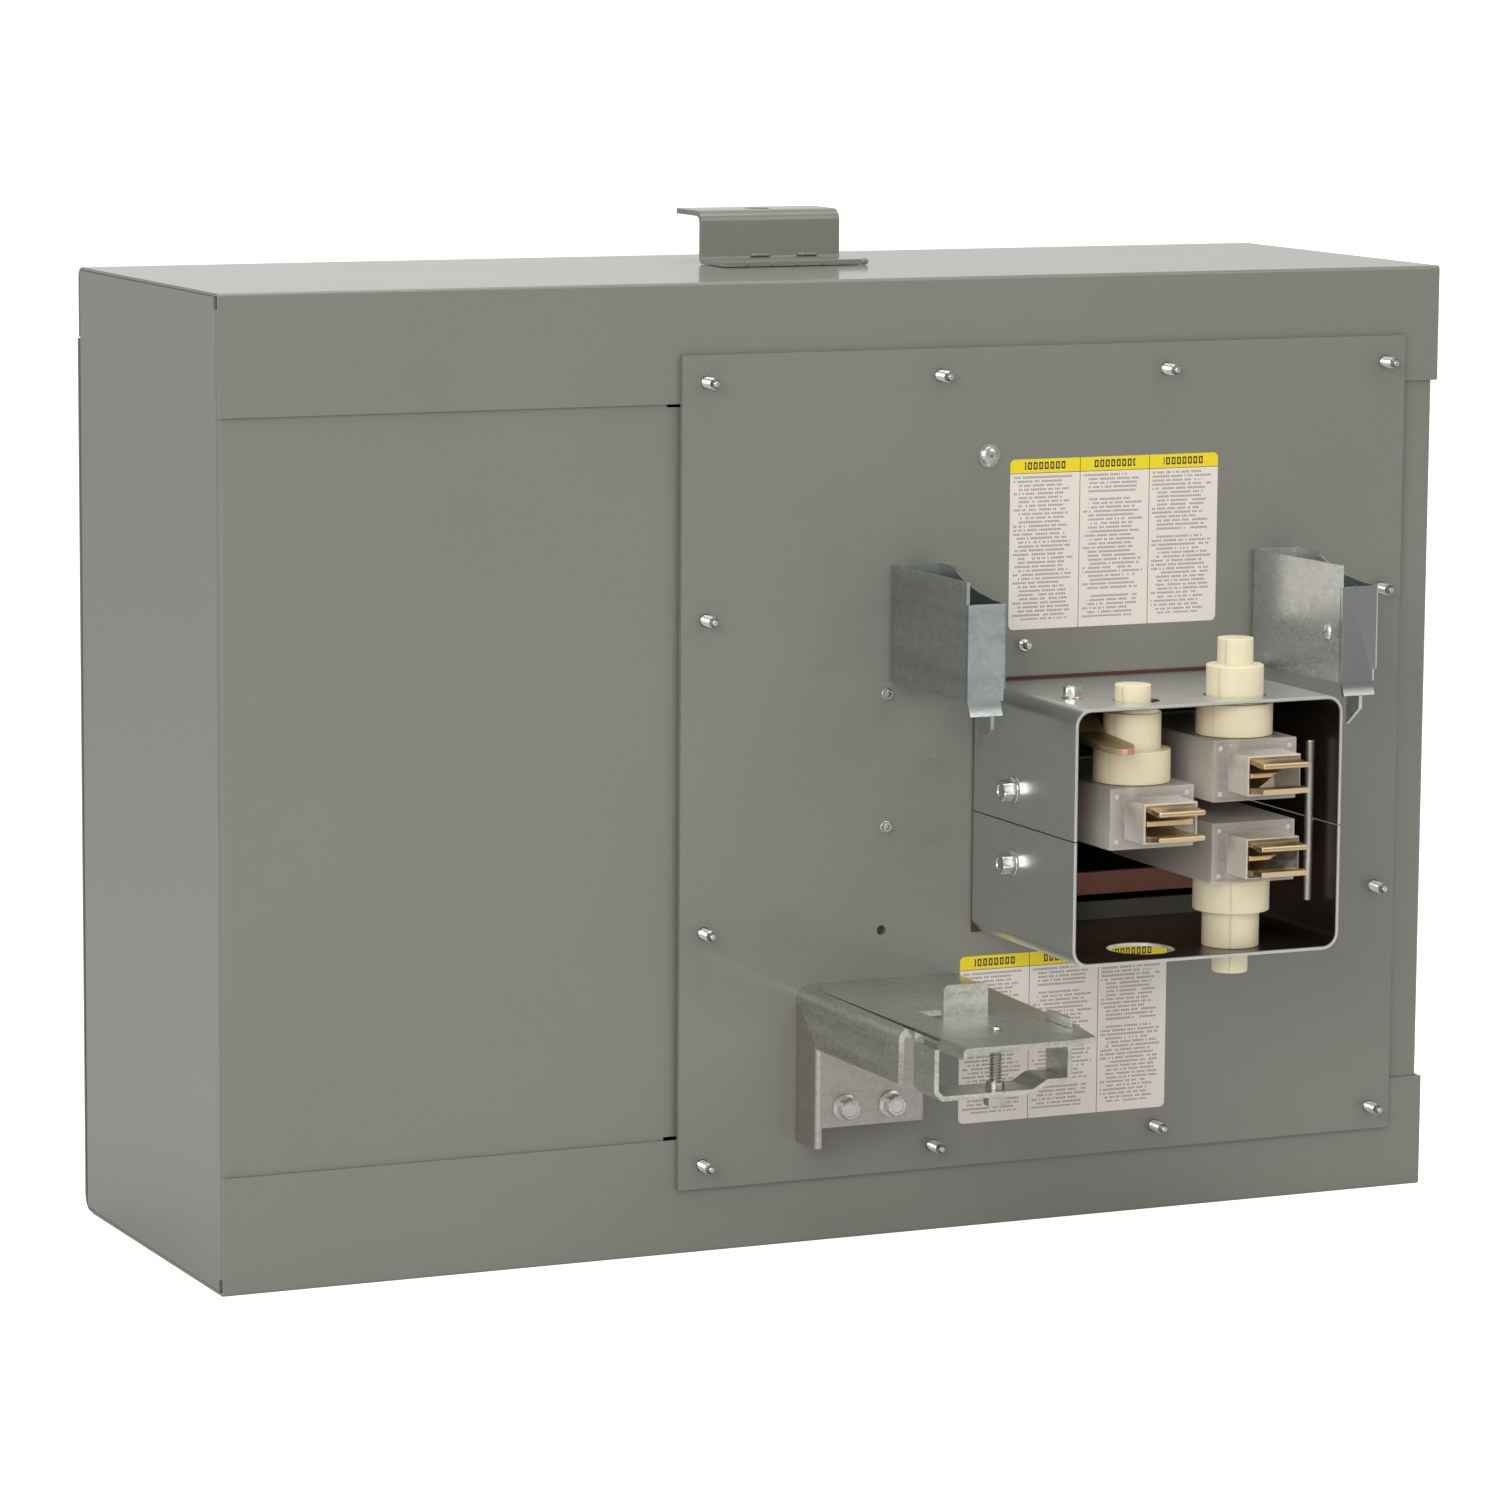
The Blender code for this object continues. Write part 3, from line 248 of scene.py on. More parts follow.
def edge_finisher():
    """Geometry nodes that close the mesh's seams and shade it smooth, ready for its bevel."""
    group = bpy.data.node_groups.new("closed_and_smooth", "GeometryNodeTree")
    group.interface.new_socket("Geometry", in_out="INPUT", socket_type="NodeSocketGeometry")
    group.interface.new_socket("Geometry", in_out="OUTPUT", socket_type="NodeSocketGeometry")
    given = group.nodes.new("NodeGroupInput")
    merge = group.nodes.new("GeometryNodeMergeByDistance")
    merge.inputs["Distance"].default_value = 0.000005
    clear = group.nodes.new("GeometryNodeRemoveAttribute")
    clear.inputs["Name"].default_value = "custom_normal"
    smooth = group.nodes.new("GeometryNodeSetShadeSmooth")
    result = group.nodes.new("NodeGroupOutput")
    group.links.new(given.outputs[0], merge.inputs["Geometry"])
    group.links.new(merge.outputs["Geometry"], clear.inputs["Geometry"])
    group.links.new(clear.outputs["Geometry"], smooth.inputs["Geometry"])
    group.links.new(smooth.outputs["Geometry"], result.inputs[0])
    return group


EDGE_FINISHER = edge_finisher()


def dress(material, width, *names, segments=2):
    """Give a finish to solids of the frame, with small rounded edges of one width."""
    for name in names:
        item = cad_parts[name]
        item.data.materials.clear()
        item.data.materials.append(material)
        join = item.modifiers.new("closed", "NODES")
        join.node_group = EDGE_FINISHER
        flat = item.modifiers.new("flat_faces", "DECIMATE")
        flat.decimate_type = "DISSOLVE"
        flat.angle_limit = math.radians(0.6)
        bevel = item.modifiers.new("edges", "BEVEL")
        bevel.width = width
        bevel.segments = segments
        bevel.limit_method = "ANGLE"
        bevel.angle_limit = math.radians(32)
        even = item.modifiers.new("even_shading", "WEIGHTED_NORMAL")
        even.weight = 80


dress(GREY_ENAMEL, 0.0004, "body_wrapper", "top_cap", "bottom_cap")


# ------------------------------------------------------------------ hanger
# Z bracket of three millimetre steel welded to the top.  Press-brake nibbles show along
# its foot, and weld beads run under the web's ends.
dress(GREY_ENAMEL, 0.0006, "hanger_bracket")
plate_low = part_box("mounting_plate")[0]
PLATE_LEFT = 0.0990
PLATE_REACH = 0.0051


def spot(x, reach, z):
    """A point of the unit: x from its middle, reach out from the mounting wall, z up."""
    return Vector((plate_low.x + PLATE_LEFT + x, plate_low.y + PLATE_REACH - reach, z))


def piece_from(shape, name, material, body, sharp=35):
    """Turn a bmesh into a piece of the unit that rides on a body."""
    mesh = bpy.data.meshes.new(name)
    bmesh.ops.recalc_face_normals(shape, faces=shape.faces)
    shape.to_mesh(mesh)
    shape.free()
    mesh.shade_smooth()
    mesh.set_sharp_from_angle(angle=math.radians(sharp))
    mesh.materials.append(material)
    piece = bpy.data.objects.new(name, mesh)
    scene.collection.objects.link(piece)
    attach(piece, body)
    return piece


def weld_bead(shape, start, end, radius, lumps):
    """A rippled fillet bead between two points: a chain of low overlapping domes."""
    for step in range(lumps):
        middle = start.lerp(end, step / max(1, lumps - 1))
        ball = bmesh.ops.create_icosphere(shape, subdivisions=2, radius=radius)
        bmesh.ops.scale(shape, vec=(1.15, 1.0, 0.62 + 0.10 * math.sin(step * 2.1)), verts=ball["verts"])
        bmesh.ops.translate(shape, vec=middle, verts=ball["verts"])


hanger_low, hanger_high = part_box("hanger_bracket")
beads = bmesh.new()
HANGER_FOOT = 0.0320
web_front = hanger_low.y + HANGER_FOOT
hanger_wide = hanger_high.x - hanger_low.x
for part in (0.42, 0.76):
    x = hanger_low.x + part * hanger_wide
    weld_bead(beads, Vector((x - 0.0040, web_front - 0.0002, hanger_low.z + 0.0041)),
              Vector((x + 0.0045, web_front - 0.0002, hanger_low.z + 0.0041)), 0.0015, 7)
piece_from(beads, "hanger_weld_beads", GREY_ENAMEL, "enclosure", sharp=60)

nibbles = bmesh.new()
foot_edge = hanger_low.y
for part in (0.15, 0.33, 0.51, 0.69):
    tick = bmesh.ops.create_icosphere(nibbles, subdivisions=2, radius=0.0012)
    bmesh.ops.scale(nibbles, vec=(0.70, 0.80, 1.30), verts=tick["verts"])
    bmesh.ops.translate(nibbles, vec=(hanger_low.x + part * hanger_wide, foot_edge, hanger_low.z + 0.0015),
                        verts=tick["verts"])
nib = bmesh.ops.create_icosphere(nibbles, subdivisions=2, radius=0.0021)
bmesh.ops.scale(nibbles, vec=(1.3, 1.0, 0.9), verts=nib["verts"])
bmesh.ops.translate(nibbles, vec=(hanger_high.x, foot_edge + 0.0012, hanger_low.z + 0.0016),
                    verts=nib["verts"])
piece_from(nibbles, "hanger_press_marks", GREY_ENAMEL, "enclosure", sharp=60)


# ------------------------------------------------------------------ mounting plate
# Three millimetre plate, enamelled like the shell, that carries the throat, hooks and
# clamp.  It has its own small fasteners beside the twelve screws of its rim.
dress(GREY_ENAMEL, 0.0005, "mounting_plate")


def bright_zinc():
    material, tree, shader = blank_finish("bright_zinc")
    marks = place_group(tree, HANDLING_MARKS, Scale=190.0, Coverage=0.8)
    tint = blend_colours(tree, marks.outputs["Rub"], (0.52, 0.52, 0.50), (0.78, 0.78, 0.75))
    tree.links.new(tint, shader.inputs["Base Color"])
    shader.inputs["Metallic"].default_value = 1.0
    tree.links.new(spread(tree, marks.outputs["Rub"], 0.34, 0.20), shader.inputs["Roughness"])
    raise_surface(tree, shader, marks.outputs["Scratch"], 0.25, 0.00005)
    return material


BRIGHT_ZINC = bright_zinc()


def turn_profile(shape, profile, segments):
    """Sweep (radius, height) points round the local Z axis; ends on the axis close to a point."""
    rings = []
    for radius, height in profile:
        if radius < 1e-7:
            rings.append([shape.verts.new((0, 0, height))] * segments)
            continue
        ring = [shape.verts.new((radius * math.cos(a), radius * math.sin(a), height))
                for a in (2 * math.pi * i / segments for i in range(segments))]
        rings.append(ring)
    for upper, lower in zip(rings, rings[1:]):
        for i in range(segments):
            j = (i + 1) % segments
            corners = []
            for vert in (upper[i], upper[j], lower[j], lower[i]):
                if vert not in corners:
                    corners.append(vert)
            if len(corners) > 2:
                shape.faces.new(corners)


def cut_thread(shape, root, crest, pitch, low, high, steps=18):
    """A helical ridge round the local Z axis that fades in and out at its ends."""
    count = int((high - low) / pitch * steps)
    before = None
    for step in range(count + 1):
        angle = 2 * math.pi * step / steps
        fade = min(1.0, step / steps * 1.4, (count - step) / steps * 1.4)
        middle = low + pitch * step / steps
        ridge = root + (crest - root) * fade
        row = []
        for radius, shift in ((root - 0.0001, -0.48), (ridge, -0.06), (ridge, 0.06), (root - 0.0001, 0.48)):
            row.append(shape.verts.new((radius * math.cos(angle), radius * math.sin(angle),
                                        middle + shift * pitch)))
        if before:
            for a, b, c, d in zip(before, before[1:], row[1:], row):
                shape.faces.new((a, b, c, d))
        before = row


def face_out(shape, axis, place):
    """Turn what was drawn on +Z to face along an axis, and put it in place."""
    turn = Vector((0, 0, 1)).rotation_difference(Vector(axis)).to_matrix()
    bmesh.ops.rotate(shape, matrix=turn, verts=shape.verts)
    bmesh.ops.translate(shape, vec=place, verts=shape.verts)


# Thread-forming screws, driven from inside, so that their threads and dog points stand
# out of the plate.
SCREW_ROOT = 0.00252
for number in range(1, 13):
    name = "plate_screw_%02d" % number
    low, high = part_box(name)
    middle = (low + high) / 2
    tip = 0.0178
    screw = bmesh.new()
    turn_profile(screw, [(0, tip), (0.0011, tip), (0.0015, tip - 0.0003), (0.0019, tip - 0.0024),
                         (SCREW_ROOT, tip - 0.0034), (SCREW_ROOT, -0.0017), (0.0058, -0.0017),
                         (0.0060, -0.0022), (0.0050, -0.0046), (0, -0.0050)], 24)
    cut_thread(screw, SCREW_ROOT, 0.0030, 0.00110, 0.0008, tip - 0.0030)
    bmesh.ops.rotate(screw, matrix=Matrix.Rotation(number * 1.3, 3, "Z"), verts=screw.verts)
    face_out(screw, (0, -1, 0), Vector((middle.x, spot(0, 0, 0).y, middle.z)))
    made = piece_from(screw, name + "_threaded", BRIGHT_ZINC, "enclosure")
    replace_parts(made, name)

# A stud end like them stands above the throat, and two hollow set screws beside the hooks.
stud = bmesh.new()
turn_profile(stud, [(0, 0.0088), (0.0012, 0.0088), (0.0016, 0.0085), (0.0019, 0.0066), (SCREW_ROOT, 0.0056),
                    (SCREW_ROOT, 0.0001), (0, 0.0001)], 24)
cut_thread(stud, SCREW_ROOT, 0.0030, 0.00110, 0.0006, 0.0058)
face_out(stud, (0, -1, 0), spot(0.0983, PLATE_REACH, 0.3133))
piece_from(stud, "plate_stud", BRIGHT_ZINC, "enclosure")

for number, z in ((1, 0.2907), (2, 0.2203)):
    hollow = bmesh.new()
    turn_profile(hollow, [(0, 0.0004), (0.0012, 0.0008), (0.0013, 0.0031), (0.0016, 0.0036),
                          (0.0022, 0.0036), (0.0026, 0.0030), (0.0027, 0.0012), (0.0031, 0.0010),
                          (0.0031, 0.0001), (0, 0.0001)], 24)
    face_out(hollow, (0, -1, 0), spot(0.0186, PLATE_REACH, z))
    piece_from(hollow, "set_screw_%d" % number, BRIGHT_ZINC, "enclosure")

# Pan-head screw with a cross recess, over a toothed washer.
pan = bmesh.new()
turn_profile(pan, [(0, 0.0034), (0.0022, 0.0033), (0.0040, 0.0028), (0.0050, 0.0019), (0.0052, 0.0008),
                   (0.0050, 0.0006), (0, 0.0006)], 40)
turn_profile(pan, [(0, 0.0007), (0.0062, 0.0007), (0.0063, 0.0004), (0.0063, 0.0001), (0, 0.0001)], 40)
for turn in (0.4, 0.4 + math.pi / 2):
    slot_box = bmesh.ops.create_cube(pan, size=1)
    bmesh.ops.scale(pan, vec=(0.0056, 0.0010, 0.0006), verts=slot_box["verts"])
    bmesh.ops.rotate(pan, matrix=Matrix.Rotation(turn, 3, "Z"), verts=slot_box["verts"])
    bmesh.ops.translate(pan, vec=(0, 0, 0.0031), verts=slot_box["verts"])
face_out(pan, (0, -1, 0), spot(0.0770, PLATE_REACH, 0.4140))
piece_from(pan, "pan_head_screw", BRIGHT_ZINC, "enclosure")


# ------------------------------------------------------------------ labels
# Two vinyl labels with a yellow heading, two column rules and rows of small print, which
# is drawn here as rows of plain dashes with no words in it.
LABEL_SIZE = (0.1243, 0.0903)


def sum_of(tree, operation, first, second):
    """One Math node's output."""
    return put(tree, "Math", {0: first, 1: second}, operation=operation).outputs[0]


def within(tree, value, low, high):
    """1 where a value lies between two numbers."""
    above = sum_of(tree, "GREATER_THAN", value, low)
    return sum_of(tree, "MULTIPLY", above, sum_of(tree, "LESS_THAN", value, high))


def cells(tree, value, size):
    """The number of the cell that a value falls in, and how far through that cell it is."""
    share = sum_of(tree, "DIVIDE", value, size)
    number = sum_of(tree, "FLOOR", share, 0.0)
    return number, sum_of(tree, "SUBTRACT", share, number)


def chance(tree, *parts):
    """A steady random number for each cell named by up to three values."""
    cell = put(tree, "CombineXYZ", dict(zip("XYZ", parts)))
    return put(tree, "TexWhiteNoise", {"Vector": cell.outputs["Vector"]}).outputs["Value"]


def label_print():
    material, tree, shader = blank_finish("label_print")
    place = put(tree, "SeparateXYZ", {"Vector": put(tree, "TexCoord").outputs["Object"]})
    across = sum_of(tree, "MULTIPLY", place.outputs["X"], 1000.0)
    up = sum_of(tree, "MULTIPLY", place.outputs["Z"], 1000.0)
    column_width = 41.45
    column = cells(tree, across, column_width)[0]
    inset = sum_of(tree, "SUBTRACT", across, sum_of(tree, "MULTIPLY", column, column_width))
    row, in_row = cells(tree, up, 2.15)
    letter, in_letter = cells(tree, across, 1.02)
    band = within(tree, in_row, 0.24, 0.76)
    stroke = within(tree, in_letter, 0.16, 0.84)
    filled = sum_of(tree, "GREATER_THAN", chance(tree, letter, row, column), 0.16)
    ragged = sum_of(tree, "ADD", sum_of(tree, "MULTIPLY", chance(tree, row, column, 7.0), 9.0), 29.0)
    indented = sum_of(tree, "GREATER_THAN", chance(tree, row, 3.0, column), 0.35)
    start = sum_of(tree, "ADD", sum_of(tree, "MULTIPLY", indented, 3.0), 2.0)
    inside = sum_of(tree, "MULTIPLY", sum_of(tree, "LESS_THAN", inset, ragged),
                    sum_of(tree, "GREATER_THAN", inset, start))
    kept = sum_of(tree, "GREATER_THAN", chance(tree, row, column, 1.0), 0.03)
    body = within(tree, up, 5.0, 81.2)
    small = band
    for part in (stroke, filled, inside, kept, body):
        small = sum_of(tree, "MULTIPLY", small, part)
    in_heading = cells(tree, across, 3.30)[1]
    heading = within(tree, up, 84.7, 88.7)
    for part in (within(tree, inset, 8.5, 33.0), within(tree, in_heading, 0.14, 0.86)):
        heading = sum_of(tree, "MULTIPLY", heading, part)
    hollow = sum_of(tree, "MULTIPLY", within(tree, in_heading, 0.38, 0.64), within(tree, up, 85.6, 87.8))
    heading = sum_of(tree, "MULTIPLY", heading, sum_of(tree, "SUBTRACT", 1.0, hollow))
    rule_a = within(tree, across, 41.2, 41.55)
    rule_b = within(tree, across, 82.7, 83.05)
    rules = sum_of(tree, "MAXIMUM", rule_a, rule_b)
    rules = sum_of(tree, "MAXIMUM", rules, within(tree, up, 82.7, 83.0))
    ink = sum_of(tree, "MAXIMUM", sum_of(tree, "MULTIPLY", small, 0.66),
                 sum_of(tree, "MAXIMUM", heading, rules))
    paper_tone = put(tree, "TexNoise", {"Scale": 60.0, "Detail": 3.0})
    paper = blend_colours(tree, paper_tone.outputs["Fac"], (0.86, 0.80, 0.74), (0.92, 0.86, 0.80))
    top = sum_of(tree, "GREATER_THAN", up, 83.0)
    ground = blend_colours(tree, top, paper, (0.96, 0.77, 0.012))
    printed = blend_colours(tree, ink, ground, (0.045, 0.042, 0.042))
    tree.links.new(printed, shader.inputs["Base Color"])
    tree.links.new(spread(tree, ink, 0.46, 0.34), shader.inputs["Roughness"])
    raise_surface(tree, shader, paper_tone.outputs["Fac"], 0.05, 0.0002)
    return material


LABEL_PRINT = label_print()


def label(name, x, z):
    """A thin vinyl sheet with round corners, stuck on the plate with its lower left corner at x, z."""
    wide, tall = LABEL_SIZE
    corner = 0.0028
    sheet = bmesh.new()
    rim = []
    for cx, cz, start in ((wide - corner, tall - corner, 0), (corner, tall - corner, 90),
                          (corner, corner, 180), (wide - corner, corner, 270)):
        for step in range(7):
            angle = math.radians(start + step * 15)
            rim.append(sheet.verts.new((cx + corner * math.cos(angle), 0, cz + corner * math.sin(angle))))
    face = sheet.faces.new(rim)
    grown = bmesh.ops.extrude_face_region(sheet, geom=[face])
    moved = [item for item in grown["geom"] if isinstance(item, bmesh.types.BMVert)]
    bmesh.ops.translate(sheet, vec=(0, -0.00018, 0), verts=moved)
    mesh = bpy.data.meshes.new(name)
    bmesh.ops.recalc_face_normals(sheet, faces=sheet.faces)
    sheet.to_mesh(mesh)
    sheet.free()
    mesh.materials.append(LABEL_PRINT)
    piece = bpy.data.objects.new(name, mesh)
    piece.location = spot(x, PLATE_REACH + 0.00004, z)
    scene.collection.objects.link(piece)
    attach(piece, "enclosure")


label("upper_label", 0.0897, 0.3210)
label("lower_label", 0.0637, 0.0571)


# ------------------------------------------------------------------ hooks
# Folded from two millimetre galvanized steel: a box section with a front flange, whose lip
# flares to lead it over the busway, and a pointed tail below.
def zinc_skin():
    """Cold grain, drawing streaks and small spangle of hot-dip galvanized sheet."""
    group, given, result = effect_group("zinc_skin", {"Grain": 420.0, "Streak": 16.0},
                                        ("Spangle", "Streaks", "Height"))
    where = put(group, "TexCoord").outputs["Object"]
    bent = put(group, "TexNoise", {"Vector": where, "Scale": 90.0, "Detail": 2.0})
    shifted = put(group, "Mix", {0: 0.012, 4: where, 5: bent.outputs["Color"]}, data_type="VECTOR")
    flakes = put(group, "TexVoronoi", {"Vector": shifted.outputs[1], "Scale": given.outputs["Grain"]})
    tone = put(group, "SeparateXYZ", {"Vector": flakes.outputs["Color"]})
    drawn = put(group, "Mapping", {"Vector": where, "Scale": (1.0, 1.0, 11.0)})
    streak = put(group, "TexNoise", {"Vector": drawn.outputs["Vector"], "Scale": given.outputs["Streak"],
                                     "Detail": 6.0, "Roughness": 0.7})
    fine = put(group, "TexNoise", {"Vector": where, "Scale": 520.0, "Detail": 2.0})
    group.links.new(tone.outputs["X"], result.inputs["Spangle"])
    group.links.new(streak.outputs["Fac"], result.inputs["Streaks"])
    group.links.new(fine.outputs["Fac"], result.inputs["Height"])
    return group


ZINC_SKIN = zinc_skin()


def galvanized(name, dark, light, rough, grain, streak, bump=0.05, region=None, painted_shade_tint=None):
    """Galvanized sheet: spangle and streaks move its tint and gloss, and one region may take a painted shade
    tint.
    """
    material, tree, shader = blank_finish(name)
    skin = place_group(tree, ZINC_SKIN, Grain=grain, Streak=streak)
    marks = place_group(tree, HANDLING_MARKS, Scale=75.0, Coverage=0.7)
    mixed = sum_of(tree, "ADD", sum_of(tree, "MULTIPLY", skin.outputs["Spangle"], 0.22),
                   sum_of(tree, "MULTIPLY", skin.outputs["Streaks"], 0.90))
    tone = put(tree, "MapRange", {"Value": mixed, "From Min": 0.32, "From Max": 0.82})
    base = blend_colours(tree, tone.outputs["Result"], dark, light)
    scratches_and_painted_shade = blend_colours(tree, marks.outputs["Scratch"], base, tuple(min(0.95, c * 1.25) for c in light))
    # The region's tint is painted shade: a darker colour that stands in for a dark reflection there.
    if region:
        place = put(tree, "SeparateXYZ", {"Vector": put(tree, "TexCoord").outputs["Object"]})
        scratches_and_painted_shade = blend_colours(tree, region(tree, place), scratches_and_painted_shade, painted_shade_tint)
    tree.links.new(scratches_and_painted_shade, shader.inputs["Base Color"])
    shader.inputs["Metallic"].default_value = 1.0
    gloss = spread(tree, tone.outputs["Result"], rough + 0.04, rough - 0.03)
    tree.links.new(gloss, shader.inputs["Roughness"])
    if bump:
        raise_surface(tree, shader, skin.outputs["Height"], bump, 0.0001)
    return material


HOOK_STEEL = galvanized("hook_steel", (0.40, 0.44, 0.44), (0.60, 0.64, 0.65), 0.32, 300.0, 9.0, 0.02)
hook_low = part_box("hook_right")[0]


def right_flange(tree, place):
    """1 on the front flange of the right hook, where a painted dark reflection goes."""
    return sum_of(tree, "LESS_THAN", place.outputs["Y"], hook_low.y + 0.0035)


# The right hook is the same steel as the left. Its lighter tint is a painted reflection of the bright label
# beside it. Its front flange takes painted shade: a dark tint for a dark reflection.
HOOK_STEEL_PAINTED_REFLECTION = galvanized("hook_steel_painted_reflection", (0.66, 0.70, 0.70), (0.82, 0.86, 0.86), 0.27, 260.0, 6.0, 0,
                         right_flange, (0.33, 0.345, 0.345))
dress(HOOK_STEEL, 0.0004, "hook_left")
dress(HOOK_STEEL_PAINTED_REFLECTION, 0.0004, "hook_right")

# The right hook's outer wall has an oval bump pressed in it.
bump = bmesh.new()
turn_profile(bump, [(0, 0.0021), (0.0014, 0.0019), (0.0027, 0.0013), (0.0035, 0.0005), (0.0038, 0.00002),
                    (0, 0.00002)], 32)
face_out(bump, (-1, 0, 0), Vector((0, 0, 0)))
bmesh.ops.scale(bump, vec=(1, 1, 1.25), verts=bump.verts)
bmesh.ops.translate(bump, vec=(hook_low.x, hook_low.y + 0.0105, 0.3235), verts=bump.verts)
piece_from(bump, "hook_right_bump", HOOK_STEEL_PAINTED_REFLECTION, "enclosure")


# ------------------------------------------------------------------ throat
# Two folded shells of bright galvanized steel that meet at a level seam.  They close round
# the jaws and stand on a strip of red fibre against the plate.
throat_low, throat_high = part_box("throat_upper")
throat_low.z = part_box("throat_lower")[0].z
THROAT_ROUND = 0.0090
THROAT_WALL = 0.0015


def throat_inside(tree, place):
    """1 on the faces inside the throat's rounded box, which get painted shade."""
    past = []
    for axis, low, high in (("X", throat_low.x, throat_high.x), ("Z", throat_low.z, throat_high.z)):
        away = sum_of(tree, "ABSOLUTE", sum_of(tree, "SUBTRACT", place.outputs[axis], (low + high) / 2), 0.0)
        beyond = sum_of(tree, "SUBTRACT", away, (high - low) / 2 - THROAT_ROUND)
        past.append(sum_of(tree, "MAXIMUM", beyond, 0.0))
    squares = sum_of(tree, "ADD", *[sum_of(tree, "MULTIPLY", value, value) for value in past])
    return sum_of(tree, "LESS_THAN", squares, (THROAT_ROUND - THROAT_WALL) ** 2)


# Inside the throat the steel gets painted shade: a dark reddish tint for the dark reflection of the copper
# within.
THROAT_STEEL = galvanized("throat_steel", (0.68, 0.715, 0.71), (0.77, 0.795, 0.78), 0.31, 160.0, 5.0, 0,
                          throat_inside, (0.22, 0.185, 0.165))
dress(THROAT_STEEL, 0.0005, "throat_upper", "throat_lower", segments=3)


def fibre_sheet():
    material, tree, shader = blank_finish("fibre_sheet")
    fuzz = put(tree, "TexNoise", {"Scale": 900.0, "Detail": 5.0, "Roughness": 0.7})
    tint = blend_colours(tree, fuzz.outputs["Fac"], (0.050, 0.018, 0.013), (0.115, 0.040, 0.028))
    tree.links.new(tint, shader.inputs["Base Color"])
    tree.links.new(spread(tree, fuzz.outputs["Fac"], 0.60, 0.82), shader.inputs["Roughness"])
    raise_surface(tree, shader, fuzz.outputs["Fac"], 0.3, 0.0001)
    return material


dress(fibre_sheet(), 0.0001, "throat_gasket")


# Hex-flange screws: a cold-forged head with a shallow cup in its top, over a wide flange.
def hex_head(shape, across, low, high, cup):
    """A hexagonal head on +Z with chamfered corners and a shallow round cup in its top."""
    sides = 36
    flat = across / 2
    rows = []
    for round_part, scale, height in ((0.0, 1.0, low), (0.0, 1.0, high - 0.13 * flat),
                                      (0.5, 0.99, high - 0.04 * flat), (0.9, 0.93, high), (1.0, 0.74, high),
                                      (1.0, 0.66, high - cup), (1.0, 0.20, high - cup * 1.1)):
        row = []
        for step in range(sides):
            angle = 2 * math.pi * step / sides
            six = flat / math.cos((angle % (math.pi / 3)) - math.pi / 6)
            radius = (six * (1 - round_part) + flat * round_part) * scale
            row.append(shape.verts.new((radius * math.cos(angle), radius * math.sin(angle), height)))
        rows.append(row)
    for lower, upper in zip(rows, rows[1:]):
        for i in range(sides):
            j = (i + 1) % sides
            shape.faces.new((lower[i], lower[j], upper[j], upper[i]))
    shape.faces.new(rows[-1])


def flange_screw(name, node, axis, place, flange, across, tall, shank, length):
    """A hex-flange screw that stands for a node of the frame."""
    screw = bmesh.new()
    rim = 0.0014
    turn_profile(screw, [(across * 0.40, rim + 0.0003), (flange * 0.40, rim * 0.95),
                         (flange * 0.485, rim * 0.55), (flange * 0.5, rim * 0.30), (flange * 0.49, 0.00002),
                         (shank, 0.0), (shank, -length), (shank * 0.7, -length - 0.0006),
                         (0, -length - 0.0006)], 48)
    hex_head(screw, across, rim * 0.5, rim + tall, 0.0006)
    cut_thread(screw, shank - 0.0002, shank + 0.0002, 0.00127, -length + 0.0004, -0.0006)
    bmesh.ops.rotate(screw, matrix=Matrix.Rotation(0.31, 3, "Z"), verts=screw.verts)
    face_out(screw, axis, place)
    made = piece_from(screw, name, BRIGHT_ZINC, "enclosure", sharp=28)
    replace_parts(made, node)


for number in (1, 2):
    low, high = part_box("throat_bolt_%d" % number)
    middle = (low + high) / 2
    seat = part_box("throat_upper")[0].x - 0.0001
    flange_screw("throat_hex_screw_%d" % number, "throat_bolt_%d" % number, (-1, 0, 0),
                 Vector((seat, middle.y, middle.z)), 0.0150, 0.0098, 0.0058, 0.0029, 0.0062)
low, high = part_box("stab_screw")
middle = (low + high) / 2
flange_screw("stab_hex_screw", "stab_screw", (0, 0, 1), Vector((middle.x, middle.y, throat_high.z + 0.0001)),
             0.0112, 0.0086, 0.0044, 0.0024, 0.0034)


